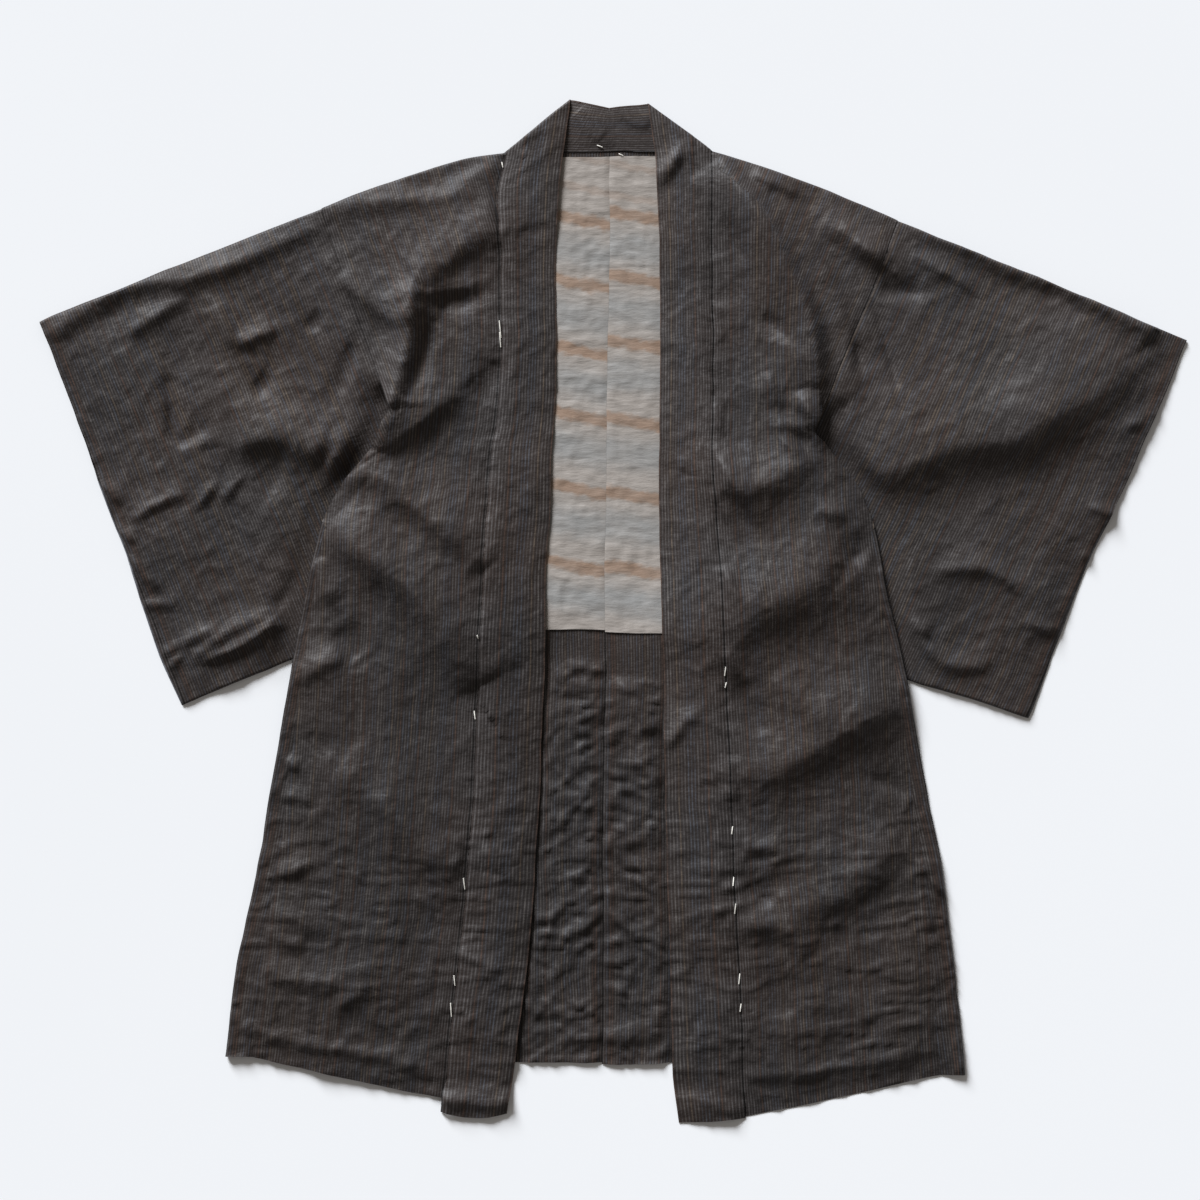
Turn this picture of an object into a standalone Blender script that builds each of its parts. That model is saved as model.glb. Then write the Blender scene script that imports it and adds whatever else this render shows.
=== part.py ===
"""Haori jacket laid flat and open on a table: ten cloth pieces, each a thin wall.

World frame, metres: +X is the wearer's left, +Y runs from the hem to the collar, +Z is up.
The underside lies on z = 0. Outline sizes are in millimetres and are turned to metres at the end.
Each half is described by distances outwards from the middle of the garment ("out") and by y.
"""

import math
from collections import namedtuple

import bmesh
import bpy
import numpy as np
from mathutils import Vector

COLLECTION = "haori_jacket"
MM = 0.001

CLOTH = 1.0                     # wall of one layer of cloth
BAND = 2.0                      # wall of the collar band, which is cloth folded double
SEAM = 0.3                      # space between two pieces at a seam
LAYER = CLOTH + SEAM            # rise from one layer to the next
FLOOR_LAYER = CLOTH / 2         # middle of a layer that lies on the table
FRONT_RISE = 3.2                # the front panel above the back panel, with the lining between
COLLAR_RISE = 3.2               # the collar band's underside above the back panel's
SLEEVE_RISE = 2.6               # the front of a sleeve above its back
FOLD = 1.6                      # how far a folded edge rounds out
TUCK_LIFT = SLEEVE_RISE + LAYER  # the body over a sleeve that is tucked under it
TUCK_MARGIN = 30.0              # the lift stays whole this far beyond the sleeve
LIFT_ABOVE = 45.0               # the lift is whole this far above the armhole's end
TUCK_RAMP = 80.0                # and then dies away over this distance
SLEEVE_FLAT = 38.0              # the sleeve lies flat this far beyond the body's edge
SLEEVE_RAMP = 45.0              # and reaches its full height after this distance
GUSSET_TOP = 5.0                # half the gusset's width at its upper end
LINING_INSET = 16.0             # the lining's edge inside the panel's side edge
HEM_DROP = 26.0                 # the front comes down to the table over this distance

ARMHOLE_ROWS, SLIT_ROWS, WAIST_ROWS, SKIRT_ROWS = 5, 3, 4, 10
FRONT_COLUMNS, NECK_COLUMNS = 7, 3
SLEEVE_ROWS, SLEEVE_COLUMNS = 10, 9
COLLAR_COLUMNS, NECK_ROWS = 3, 3
FOLD_STEPS = 4
NECK_SPREAD = 3                 # the back's columns fan out over a third of its length
CROWN_FADE = 6                  # the shoulder's curve dies away over a sixth of the length
NECK_RISE_REACH = 0.15          # share of the length over which the collar's edge rises to the neck
BACK_NECK_DROP = 10             # the back neck's middle below its corners
LINING_TOP_GAP = 2              # the lining stops this far below the shoulder fold

# A row of the outline: at height y, how far out the free edge, the collar seam and the side lie.
Outline = namedtuple("Outline", "y edge seam side")
# A soft fold of the front: a ridge from one point to another.
Fold = namedtuple("Fold", "out1 y1 out2 y2 width height")
Half = namedtuple(
    "Half",
    "side sign neck shoulder cuff_top cuff_end sleeve_end armhole_bow mouth armhole_y slit_y lining_y"
    " side_hem seam_hem collar_hem edge_hem back_hem neck_tip centre gusset crown outline folds",
)
Finish = namedtuple("Finish", "colour roughness")

RIGHT = Half(
    side="right", sign=-1, neck=(114, 485), shoulder=(309, 426), cuff_top=(608, 305),
    cuff_end=(453, -102), sleeve_end=(152, 20), armhole_bow=9, mouth=0.40,
    armhole_y=217, slit_y=95, lining_y=-47,
    side_hem=-473, seam_hem=-517, collar_hem=-531, edge_hem=-533, back_hem=-478,
    neck_tip=(46, 541), centre=(4, 9, 12), gusset=30, crown=7,
    outline=(
        Outline(541, 46, 114, 309), Outline(485, 54, 114, 309), Outline(440, 59, 125, 290),
        Outline(385, 62, 120, 270), Outline(285, 59, 121, 240), Outline(217, 61, 125, 238),
        Outline(172, 64, 130, 253), Outline(138, 66, 133, 285), Outline(95, 68, 138, 309),
        Outline(31, 71, 140, 324), Outline(-69, 74, 144, 343), Outline(-201, 78, 151, 364),
        Outline(-296, 84, 158, 382), Outline(-375, 91, 166, 400), Outline(-473, 104, 177, 412),
        Outline(-533, 114, 183, 419),
    ),
    folds=(
        Fold(168, 373, 190, 348, 25, 9), Fold(195, 339, 242, 191, 24, 12),
        Fold(226, 148, 279, 117, 38, 12), Fold(285, 95, 173, 21, 22, 8),
        Fold(332, -42, 163, -95, 34, 6), Fold(332, -233, 184, -286, 45, 5),
        Fold(555, 223, 311, 297, 30, 7), Fold(491, 53, 350, 117, 35, 7),
    ),
)
LEFT = Half(
    side="left", sign=1, neck=(104, 485), shoulder=(302, 412), cuff_top=(608, 286),
    cuff_end=(436, -114), sleeve_end=(127, 4), armhole_bow=4, mouth=0.48,
    armhole_y=193, slit_y=88, lining_y=-65,
    side_hem=-493, seam_hem=-537, collar_hem=-538, edge_hem=-542, back_hem=-480,
    neck_tip=(37, 535), centre=(-4, -9, -12), gusset=27, crown=5,
    outline=(
        Outline(535, 37, 104, 302), Outline(485, 45, 104, 302), Outline(385, 48, 105, 280),
        Outline(270, 49, 104, 245), Outline(193, 49, 104, 221), Outline(152, 48, 105, 239),
        Outline(140, 48, 106, 255), Outline(88, 49, 109, 278), Outline(14, 51, 115, 290),
        Outline(-73, 53, 119, 312), Outline(-201, 56, 125, 334), Outline(-299, 57, 127, 351),
        Outline(-404, 60, 134, 363), Outline(-493, 63, 137, 373), Outline(-542, 69, 140, 378),
    ),
    folds=(
        Fold(134, 413, 198, 276, 26, 8), Fold(203, 191, 261, 117, 38, 10),
        Fold(198, -32, 293, 21, 28, 8), Fold(155, -138, 304, -201, 40, 6),
        Fold(251, -307, 335, -254, 35, 5), Fold(272, 143, 420, 191, 28, 10),
        Fold(420, 191, 537, 270, 26, 9), Fold(367, 11, 473, 53, 34, 7),
    ),
)

DARK_SILK = Finish((0.040, 0.034, 0.032, 1.0), 0.50)
LINING_SILK = Finish((0.42, 0.36, 0.31, 1.0), 0.65)


def between(start, end, share):
    """The value, or the point, this share of the way from start to end."""
    return start + (end - start) * share


def smooth(share):
    """0 to 1 with level ends."""
    share = min(max(share, 0.0), 1.0)
    return share * share * (3 - 2 * share)


def line_at(half, column, y):
    """How far out one line of the outline lies at height y."""
    rows = sorted(half.outline)
    return float(np.interp(y, [row.y for row in rows], [getattr(row, column) for row in rows]))


def armhole_at(half, y):
    """How far out the armhole seam lies at height y; below the armhole it is the sleeve's free edge."""
    share = (half.shoulder[1] - y) / (half.shoulder[1] - half.sleeve_end[1])
    return between(half.shoulder[0], half.sleeve_end[0], share) + half.armhole_bow * 4 * share * (1 - share)


def centre_at(half, y):
    """How far out the centre back seam lies at height y."""
    return float(np.interp(y, (half.back_hem, 0, half.neck[1]), half.centre[::-1]))


def folds_at(half, out, y):
    """Height of the soft folds at a point of the front."""
    height = 0.0
    for fold in half.folds:
        along_out, along_y = fold.out2 - fold.out1, fold.y2 - fold.y1
        share = ((out - fold.out1) * along_out + (y - fold.y1) * along_y) / (along_out**2 + along_y**2)
        share = min(max(share, 0.0), 1.0)
        away = math.hypot(out - fold.out1 - share * along_out, y - fold.y1 - share * along_y)
        height += fold.height * math.exp(-((away / fold.width) ** 2))
    return height


def outside_sleeve(half, out, y):
    """How far a point lies outside the sleeve's four-sided outline, negative inside it."""
    corners = (half.shoulder, half.cuff_top, half.cuff_end, half.sleeve_end)
    distances = []
    for corner, following in zip(corners, corners[1:] + corners[:1]):
        edge_out, edge_y = following[0] - corner[0], following[1] - corner[1]
        across = (out - corner[0]) * -edge_y + (y - corner[1]) * edge_out
        distances.append(across / math.hypot(edge_out, edge_y))
    return max(distances)


def back_level(half, out, y):
    """Middle of the back panel, which rises where the sleeve is tucked under the body."""
    near = smooth(1 - (outside_sleeve(half, out, y) - TUCK_MARGIN) / TUCK_RAMP)
    below = smooth((half.shoulder[1] - y) / (half.shoulder[1] - half.armhole_y - LIFT_ABOVE))
    return FLOOR_LAYER + TUCK_LIFT * near * below


def over_back_level(half, out, y, rise, wall=CLOTH):
    """Middle of a layer that lies over the back and comes down to the table past the back hem."""
    past_hem = smooth((half.back_hem - 3 - y) / HEM_DROP)
    return back_level(half, out, y) + (wall - CLOTH) / 2 + rise * (1 - past_hem) + folds_at(half, out, y)


def body_stations(half):
    """Heights on the side edge of the body's sections, from the shoulder to the hem."""
    marks = (half.shoulder[1], half.armhole_y, half.slit_y, half.lining_y, half.side_hem)
    counts = (ARMHOLE_ROWS, SLIT_ROWS, WAIST_ROWS, SKIRT_ROWS)
    heights = [float(marks[0])]
    for start, end, count in zip(marks, marks[1:], counts):
        heights += [between(start, end, step / count) for step in range(1, count + 1)]
    return heights


def gusset_width(half, y):
    """Half the gusset's width at height y, from its upper end to the hem."""
    share = (half.slit_y - y) / (half.slit_y - half.side_hem)
    return between(GUSSET_TOP, half.gusset, share)


def side_of_body(half, y):
    """How far out the body panels reach at height y: to the sleeve, the open slit or the gusset."""
    if y > half.armhole_y:
        return armhole_at(half, y) - SEAM
    if y > half.slit_y:
        return line_at(half, "side", y)
    return line_at(half, "side", y) - gusset_width(half, y) - SEAM


def down_share(half, y):
    """How far down the body a station lies, from 0 at the shoulder to 1 at the hem."""
    return (half.shoulder[1] - y) / (half.shoulder[1] - half.side_hem)


def shoulder_crown(half, across, down):
    """Rise of the curved shoulder line above a straight one."""
    return half.crown * 4 * across * (1 - across) * max(0.0, 1 - CROWN_FADE * down)


def front_point(half, station, across):
    """A point of the front in plan: across runs from the collar seam, 0, to the side, 1."""
    down = down_share(half, station)
    inner_y = between(half.neck[1], half.seam_hem, down)
    inner = line_at(half, "seam", inner_y) + SEAM
    out = between(inner, side_of_body(half, station), across)
    return out, between(inner_y, station, across) + shoulder_crown(half, across, down)


def back_point(half, station, across):
    """A point of the back in plan: across runs from the centre seam, 0, to the side, 1."""
    down = down_share(half, station)
    inner_y = between(half.neck[1], half.back_hem, down)
    centre = centre_at(half, inner_y) + SEAM / 2
    side = side_of_body(half, station)
    neck_share = NECK_COLUMNS / (NECK_COLUMNS + FRONT_COLUMNS)
    neck_out = between(half.neck[0], (centre + side) / 2, smooth(down * NECK_SPREAD))
    if across <= neck_share:
        return between(centre, neck_out, across / neck_share), inner_y
    beyond = (across - neck_share) / (1 - neck_share)
    y = between(inner_y, station, beyond) + shoulder_crown(half, beyond, down)
    return between(neck_out, side, beyond), y


def rolled(point, direction, low, high, turn):
    """A point on a rounded fold: turn runs from 0 on the upper layer to 1 on the lower one."""
    angle = math.pi * turn
    reach = FOLD * (math.sin(angle) - 1)
    level = (high + low) / 2 + (high - low) / 2 * math.cos(angle)
    return Vector((point[0] + direction[0] * reach, point[1] + direction[1] * reach, level))


def unit(start, end):
    """Direction from one plan point to another, turned a quarter anticlockwise seen with out to the right."""
    out, y = end[0] - start[0], end[1] - start[1]
    length = math.hypot(out, y)
    return (-y / length, out / length)


def body_vertex(half, stations, column, row):
    """A vertex of the body cloth: front hem, up to the shoulder fold and down the back."""
    last = len(stations) - 1
    outwards = unit(half.neck, half.shoulder)
    across = (column - NECK_COLUMNS) / FRONT_COLUMNS
    wide_across = column / (NECK_COLUMNS + FRONT_COLUMNS)
    if row < last:
        out, y = front_point(half, stations[last - row], across)
        return Vector((out, y, over_back_level(half, out, y, FRONT_RISE)))
    if row <= last + FOLD_STEPS and column >= NECK_COLUMNS:
        point = front_point(half, stations[0], across)
        low = back_level(half, *point)
        return rolled(point, outwards, low, over_back_level(half, *point, FRONT_RISE), (row - last) / FOLD_STEPS)
    out, y = back_point(half, stations[max(row - last - FOLD_STEPS, 0)], wide_across)
    return Vector((out, y - FOLD * (row == last + FOLD_STEPS), back_level(half, out, y)))


def lining_vertex(half, stations, column, row):
    """A vertex of the back lining, on the back panel's own points and one layer above them."""
    columns = NECK_COLUMNS + FRONT_COLUMNS
    out, y = back_point(half, stations[row], column / columns)
    if column == columns:
        out -= LINING_INSET
    if row == 0:
        out, y = out - LINING_INSET * (column == columns), y - FOLD - LINING_TOP_GAP * (column > NECK_COLUMNS)
    return Vector((out, y, back_level(half, out, y) + LAYER))


def gusset_vertex(half, stations, column, row):
    """A vertex of the gusset, a strip folded along the side edge."""
    y = stations[row]
    edge, width = line_at(half, "side", y), gusset_width(half, y)
    low = back_level(half, edge, y)
    high = over_back_level(half, edge, y, FRONT_RISE)
    seam_out = edge - width
    if column == 0:
        return Vector((seam_out, y, over_back_level(half, seam_out, y, FRONT_RISE)))
    if column == FOLD_STEPS + 2:
        return Vector((seam_out, y, back_level(half, seam_out, y)))
    return rolled((edge, y), (1, 0), low, high, (column - 1) / FOLD_STEPS)


def collar_vertex(half, stations, column, row):
    """A vertex of the collar band: up the front, folded over at the neck, then along the back neck."""
    last = len(stations) - 1
    across = column / COLLAR_COLUMNS
    if row < last:
        down = down_share(half, stations[last - row])
        seam_y = between(half.neck[1], half.collar_hem, down)
        rise = (half.neck_tip[1] - half.neck[1]) * max(0.0, 1 - down / NECK_RISE_REACH)
        edge_y = seam_y + rise + (half.edge_hem - half.collar_hem) * down**4
        seam = line_at(half, "seam", min(seam_y, half.neck[1])) - SEAM
        out = between(seam, line_at(half, "edge", edge_y), across)
        y = between(seam_y, edge_y, across)
        return Vector((out, y, over_back_level(half, out, y, COLLAR_RISE, BAND)))
    outwards = unit(half.neck_tip, half.neck)
    neck = (half.neck[0] - SEAM, half.neck[1])
    point = [between(neck[axis], half.neck_tip[axis], across) for axis in (0, 1)]
    high = over_back_level(half, *point, COLLAR_RISE, BAND)
    if row <= last + FOLD_STEPS:
        return rolled(point, outwards, BAND / 2, high, (row - last) / FOLD_STEPS)
    share = (row - last - FOLD_STEPS) / NECK_ROWS
    start = rolled(point, outwards, BAND / 2, high, 1)
    centre_top = between(half.neck[1] + SEAM, RIGHT.neck_tip[1] - BACK_NECK_DROP, across)
    return Vector((between(start.x, half.centre[0] + SEAM / 2, share), between(start.y, centre_top, share), start.z))


def sleeve_plan(half, across, up):
    """A point of the sleeve in plan: across from the armhole to the cuff, up from the bottom to the top."""
    inner_y = between(half.sleeve_end[1], half.shoulder[1], up)
    inner = (armhole_at(half, inner_y) + SEAM, inner_y)
    cuff = [between(half.cuff_end[axis], half.cuff_top[axis], up) for axis in (0, 1)]
    return between(inner[0], cuff[0], across), between(inner[1], cuff[1], across)


def sleeve_front_level(half, out, y):
    """Middle of the sleeve's front layer, which lies flat where the body covers it."""
    beyond_body = smooth((out - line_at(half, "side", y) - SLEEVE_FLAT) / SLEEVE_RAMP)
    beside_armhole = smooth((y - half.armhole_y - SLEEVE_FLAT) / SLEEVE_RAMP)
    clear = max(beyond_body, beside_armhole)
    return FLOOR_LAYER + SLEEVE_RISE + folds_at(half, out, y) * clear


def sleeve_vertex(half, column, row):
    """A vertex of the sleeve: round its section, front bottom to top fold, down the back, bottom seam."""
    across = column / SLEEVE_COLUMNS
    top, bottom = unit(half.shoulder, half.cuff_top), unit(half.cuff_end, half.sleeve_end)
    row %= 2 * (SLEEVE_ROWS + FOLD_STEPS)
    if row <= SLEEVE_ROWS + FOLD_STEPS:
        up, turn = min(row, SLEEVE_ROWS) / SLEEVE_ROWS, max(row - SLEEVE_ROWS, 0) / FOLD_STEPS
    else:
        back = row - SLEEVE_ROWS - FOLD_STEPS
        up, turn = 1 - min(back, SLEEVE_ROWS) / SLEEVE_ROWS, 1 - max(back - SLEEVE_ROWS, 0) / FOLD_STEPS
    out, y = sleeve_plan(half, across, up)
    low, high = FLOOR_LAYER, sleeve_front_level(half, out, y)
    sewn = up <= 1 - half.mouth
    if column == SLEEVE_COLUMNS and sewn:
        return Vector((out, y, (low + high) / 2))
    if column == SLEEVE_COLUMNS - 1:
        out, y = sleeve_plan(half, 1 - FOLD / math.dist(half.shoulder, half.cuff_top), up)
    edge = top if up == 1 else bottom if up == 0 else (0, 0)
    return rolled((out, y), edge, low, sleeve_front_level(half, out, y), turn)


def make_material(name, finish):
    """A plain Principled material."""
    material = bpy.data.materials.new(name)
    material.use_nodes = True
    shader = material.node_tree.nodes["Principled BSDF"]
    shader.inputs["Base Color"].default_value = finish.colour
    shader.inputs["Roughness"].default_value = finish.roughness
    shader.inputs["Metallic"].default_value = 0.0
    return material


def make_sheet(name, half, columns, rows, vertex, wall, finish, keep=None):
    """A cloth piece: a grid moved to its place vertex by vertex, closed where it meets itself, and given a wall.

    keep tells which faces stay, by the column and row of their first corner.
    """
    mesh = bmesh.new()
    bmesh.ops.create_grid(mesh, x_segments=columns, y_segments=rows, size=0.5)
    if keep:
        dropped = []
        for face in mesh.faces:
            middle = face.calc_center_median()
            if not keep(int((middle.x + 0.5) * columns), int((middle.y + 0.5) * rows)):
                dropped.append(face)
        bmesh.ops.delete(mesh, geom=dropped, context="FACES")
    for corner in mesh.verts:
        place = vertex(round((corner.co.x + 0.5) * columns), round((corner.co.y + 0.5) * rows))
        corner.co = Vector((place.x * half.sign, place.y, place.z)) * MM
    bmesh.ops.remove_doubles(mesh, verts=mesh.verts, dist=0.05 * MM)
    bmesh.ops.triangulate(mesh, faces=mesh.faces, quad_method="FIXED")
    bmesh.ops.recalc_face_normals(mesh, faces=mesh.faces)
    data = bpy.data.meshes.new(name)
    mesh.to_mesh(data)
    mesh.free()
    piece = bpy.data.objects.new(name, data)
    bpy.data.collections[COLLECTION].objects.link(piece)
    piece.data.materials.append(make_material(name, finish))
    solidify = piece.modifiers.new("wall", "SOLIDIFY")
    solidify.thickness = wall * MM
    solidify.offset = 0.0
    return piece


def make_body(half):
    """One cloth for a front and a back, folded over the shoulder, with the neck left open."""
    stations = body_stations(half)
    last = len(stations) - 1
    make_sheet(
        f"body_{half.side}", half, NECK_COLUMNS + FRONT_COLUMNS, 2 * last + FOLD_STEPS,
        lambda column, row: body_vertex(half, stations, column, row), CLOTH, DARK_SILK,
        keep=lambda column, row: column >= NECK_COLUMNS or row >= last + FOLD_STEPS,
    )


def make_lining(half):
    """The light lining over the upper back."""
    stations = body_stations(half)[: ARMHOLE_ROWS + SLIT_ROWS + WAIST_ROWS + 1]
    make_sheet(
        f"lining_{half.side}", half, NECK_COLUMNS + FRONT_COLUMNS, len(stations) - 1,
        lambda column, row: lining_vertex(half, stations, column, row), CLOTH, LINING_SILK,
    )


def make_gusset(half):
    """The tapered strip between front and back at the side."""
    stations = body_stations(half)[ARMHOLE_ROWS + SLIT_ROWS :]
    make_sheet(
        f"gusset_{half.side}", half, FOLD_STEPS + 2, len(stations) - 1,
        lambda column, row: gusset_vertex(half, stations, column, row), CLOTH, DARK_SILK,
    )


def make_collar(half):
    """The doubled band, from the front hem to the centre back."""
    stations = body_stations(half)
    make_sheet(
        f"collar_{half.side}", half, COLLAR_COLUMNS, len(stations) - 1 + FOLD_STEPS + NECK_ROWS,
        lambda column, row: collar_vertex(half, stations, column, row), BAND, DARK_SILK,
    )


def make_sleeve(half):
    """The sleeve, a flat bag with a mouth at the upper cuff and an open armhole side."""
    make_sheet(
        f"sleeve_{half.side}", half, SLEEVE_COLUMNS, 2 * (SLEEVE_ROWS + FOLD_STEPS),
        lambda column, row: sleeve_vertex(half, column, row), CLOTH, DARK_SILK,
    )


def main():
    for leftover in list(bpy.data.objects):
        bpy.data.objects.remove(leftover, do_unlink=True)
    bpy.context.scene.collection.children.link(bpy.data.collections.new(COLLECTION))
    for half in (RIGHT, LEFT):
        for make in (make_body, make_sleeve, make_gusset, make_collar, make_lining):
            make(half)


main()
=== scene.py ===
"""Looks of a haori jacket laid open and flat: striped silk, a banded lining and white basting.

World frame, metres: +X is the wearer's left, +Y runs from the hem to the collar, +Z is up.
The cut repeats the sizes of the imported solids, in millimetres. Each half is described by
distances outwards from the middle of the garment ("out") and by y.
"""

import logging
import math
from dataclasses import dataclass
from enum import Enum
from typing import Sequence

import bmesh
import bpy
import numpy as np
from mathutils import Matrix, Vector


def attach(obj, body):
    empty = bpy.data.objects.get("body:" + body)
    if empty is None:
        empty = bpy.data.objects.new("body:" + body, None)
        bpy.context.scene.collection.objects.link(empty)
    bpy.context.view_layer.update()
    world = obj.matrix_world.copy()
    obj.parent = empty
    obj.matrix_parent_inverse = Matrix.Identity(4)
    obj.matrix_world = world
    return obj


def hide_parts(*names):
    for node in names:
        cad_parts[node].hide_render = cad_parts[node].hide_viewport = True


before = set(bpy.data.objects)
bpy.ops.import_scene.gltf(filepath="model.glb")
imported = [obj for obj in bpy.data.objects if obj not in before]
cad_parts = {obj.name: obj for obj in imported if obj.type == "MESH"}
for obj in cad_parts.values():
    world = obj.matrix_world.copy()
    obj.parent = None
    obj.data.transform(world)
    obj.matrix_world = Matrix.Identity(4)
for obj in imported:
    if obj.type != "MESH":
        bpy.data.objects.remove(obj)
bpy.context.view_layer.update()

Array = np.ndarray

LOG = logging.getLogger("haori")
COLLECTION = "haori_looks"
BODY = "root"
MM = 0.001

CLOTH_WALL = 0.6                # one layer of silk
BAND_WALL = 1.2                 # the collar band, which is silk folded double
LINING_WALL = 0.5               # one layer of lining
SEAM = 0.12                     # space between two pieces at a seam
FLOOR_LAYER = 0.5               # middle of a layer that lies on the table
LINING_RISE = 1.2               # the lining above the back panel
FRONT_RISE = 3.2                # the front panel above the back panel
BAND_RISE = 3.4                 # the middle of the collar band above the back panel
BAND_FLOOR = 1.0                # middle of the band where it lies on the table
SLEEVE_RISE = 2.6               # the front of a sleeve above its back
TUCK_LIFT = 3.9                 # the body over a sleeve that is tucked under it
TUCK_MARGIN = 30.0              # the lift stays whole this far beyond the sleeve
TUCK_RAMP = 80.0                # and then dies away over this distance
LIFT_ABOVE = 45.0               # going down from the shoulder it is whole this far above the armhole's end
HEM_MARGIN = 3.0                # the front starts to come down this far below the back's hem
HEM_DROP = 26.0                 # it comes down to the table over this distance
BELOW_HEM_RISE = 0.5            # and lies this far above the back's level there
SLEEVE_FLAT = 4.0               # the sleeve lies flat this far beyond the body's edge
SLEEVE_RAMP = 30.0              # and reaches its full height after this distance
GUSSET_TOP = 5.0                # half the gusset's width at its upper end
LINING_INSET = 16.0             # the lining's edge inside the panel's side edge
TROUGH_LIMIT = 1.2              # the deepest a trough of the front sinks below its rise
TROUGH_SOFTNESS = 0.8           # and how gently it stops
LOFT = 3.4                      # air under the middle of a panel
LOFT_REACH = 55.0               # it is whole this far inside the panel's edges
SEAM_DIP = 0.7                  # the collar seam, which is pressed flat
SLIGHT_DIP = 0.5                # the other seams
SEAM_REACH = 4.0                # half the width of a seam's dip
LAP = 2.0                       # how far one piece reaches under the next at a seam
LAP_DIP = 1.4                   # and how deep it goes
LAP_ABOVE, LAP_GROWTH = 4, 8    # where the sleeve's lap starts above the armhole's end, and grows
LAP_START, LAP_RAMP = 0.6, 2.4  # where it starts to go down outside the seam, and over what distance
COLLAR_PUCKERS = 1.3            # height of the puckers beside the collar seam, against the gusset's
SLEEVE_PUCKERS = 0.5            # and those along the sleeve's edges
LINE_SOFTNESS = 14.0            # rounds the corners of the outline's rows
CROWN_FADE = 6                  # the shoulder's curve dies away over a sixth of the length
SLIT_TAPER = 6.0                # the gusset seam starts over this distance below the slit
ARMHOLE_END = 16.0              # below the armhole the side leaves its line over this distance
NECK_MARGIN = 20.0              # the shoulder line counts from this far inside the neck
JOIN_REACH = 40.0               # above the armhole's end the folds of body and sleeve become one
SEWN_REACH = 30.0               # and their layers meet over this distance
SLEEVE_SETTLE = 60.0            # the sleeve's back comes down to the table this far from the armhole
OPEN_EDGE = 12.0                # relief of the back grows over this distance from what covers it
UNDER_BAND = 2.0                # it starts this far under the band
BELOW_LINING = 4.0              # and this far below the lining's hem
SETTLE = 12                     # below the fold it is whole after a twelfth of the length
FAR = 400.0                     # stands for no edge near
NO_SEAM = 90.0                  # stands for no seam near
UNTURNED = -50.0                # a place where the stripes don't turn
TURN_BOTTOM = 140.0             # the stripes of the body turn only above this y
STRIPE_SHIFT = 180.0            # width of cloth from the collar seam to the armhole seam

FRONT_FOLD = 3.2                # radius of a body or sleeve fold
BAND_FOLD = 1.8                 # radius of the collar's fold
FOLD_STEPS = 6                  # steps in a quarter of a turn
FOLD_TURN = np.pi * np.arange(1, 2 * FOLD_STEPS) / (2 * FOLD_STEPS)


class Slot(Enum):
    """The record's material slots."""

    SILK = "striped_silk"
    LINING = "banded_lining"
    THREAD = "basting_thread"


class Held(Enum):
    """How a sheet of cloth is held."""

    LAID = "laid"
    FOLDED = "folded"


# ---------------------------------------------------------------- the cut


@dataclass(frozen=True)
class Crease:
    """A ridge, or with a negative height a trough, drawn along a path in millimetres.

    lit and dark are its widths on the side that faces the window light and on the other side.
    """

    lit: float
    dark: float
    height: float
    path: tuple[tuple[float, float], ...]


@dataclass(frozen=True)
class Level:
    """A row of the outline: at height y, how far out the free edge, collar seam and side lie."""

    y: float
    edge: float
    seam: float
    side: float


def smooth(share: Array | float) -> Array:
    """0 to 1 with level ends."""
    share = np.clip(share, 0.0, 1.0)
    return share * share * (3 - 2 * share)


def mix(start: Array | float, end: Array | float, share: Array | float) -> Array:
    """The value this share of the way from start to end."""
    return start + (end - start) * share


def segment_away(x: Array, y: Array, start: Sequence[float], end: Sequence[float]) -> tuple:
    """How points lie beside one stretch of a path.

    Args:
        x: across, in millimetres.
        y: up the garment, in millimetres.
        start: the stretch's first point.
        end: its last point.

    Returns:
        The distance from the stretch, the share along it and the signed side.
    """
    along_x, along_y = end[0] - start[0], end[1] - start[1]
    share = ((x - start[0]) * along_x + (y - start[1]) * along_y) / (along_x**2 + along_y**2)
    share = np.clip(share, 0.0, 1.0)
    off_x, off_y = x - start[0] - share * along_x, y - start[1] - share * along_y
    return np.hypot(off_x, off_y), share, along_x * off_y - along_y * off_x


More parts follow.
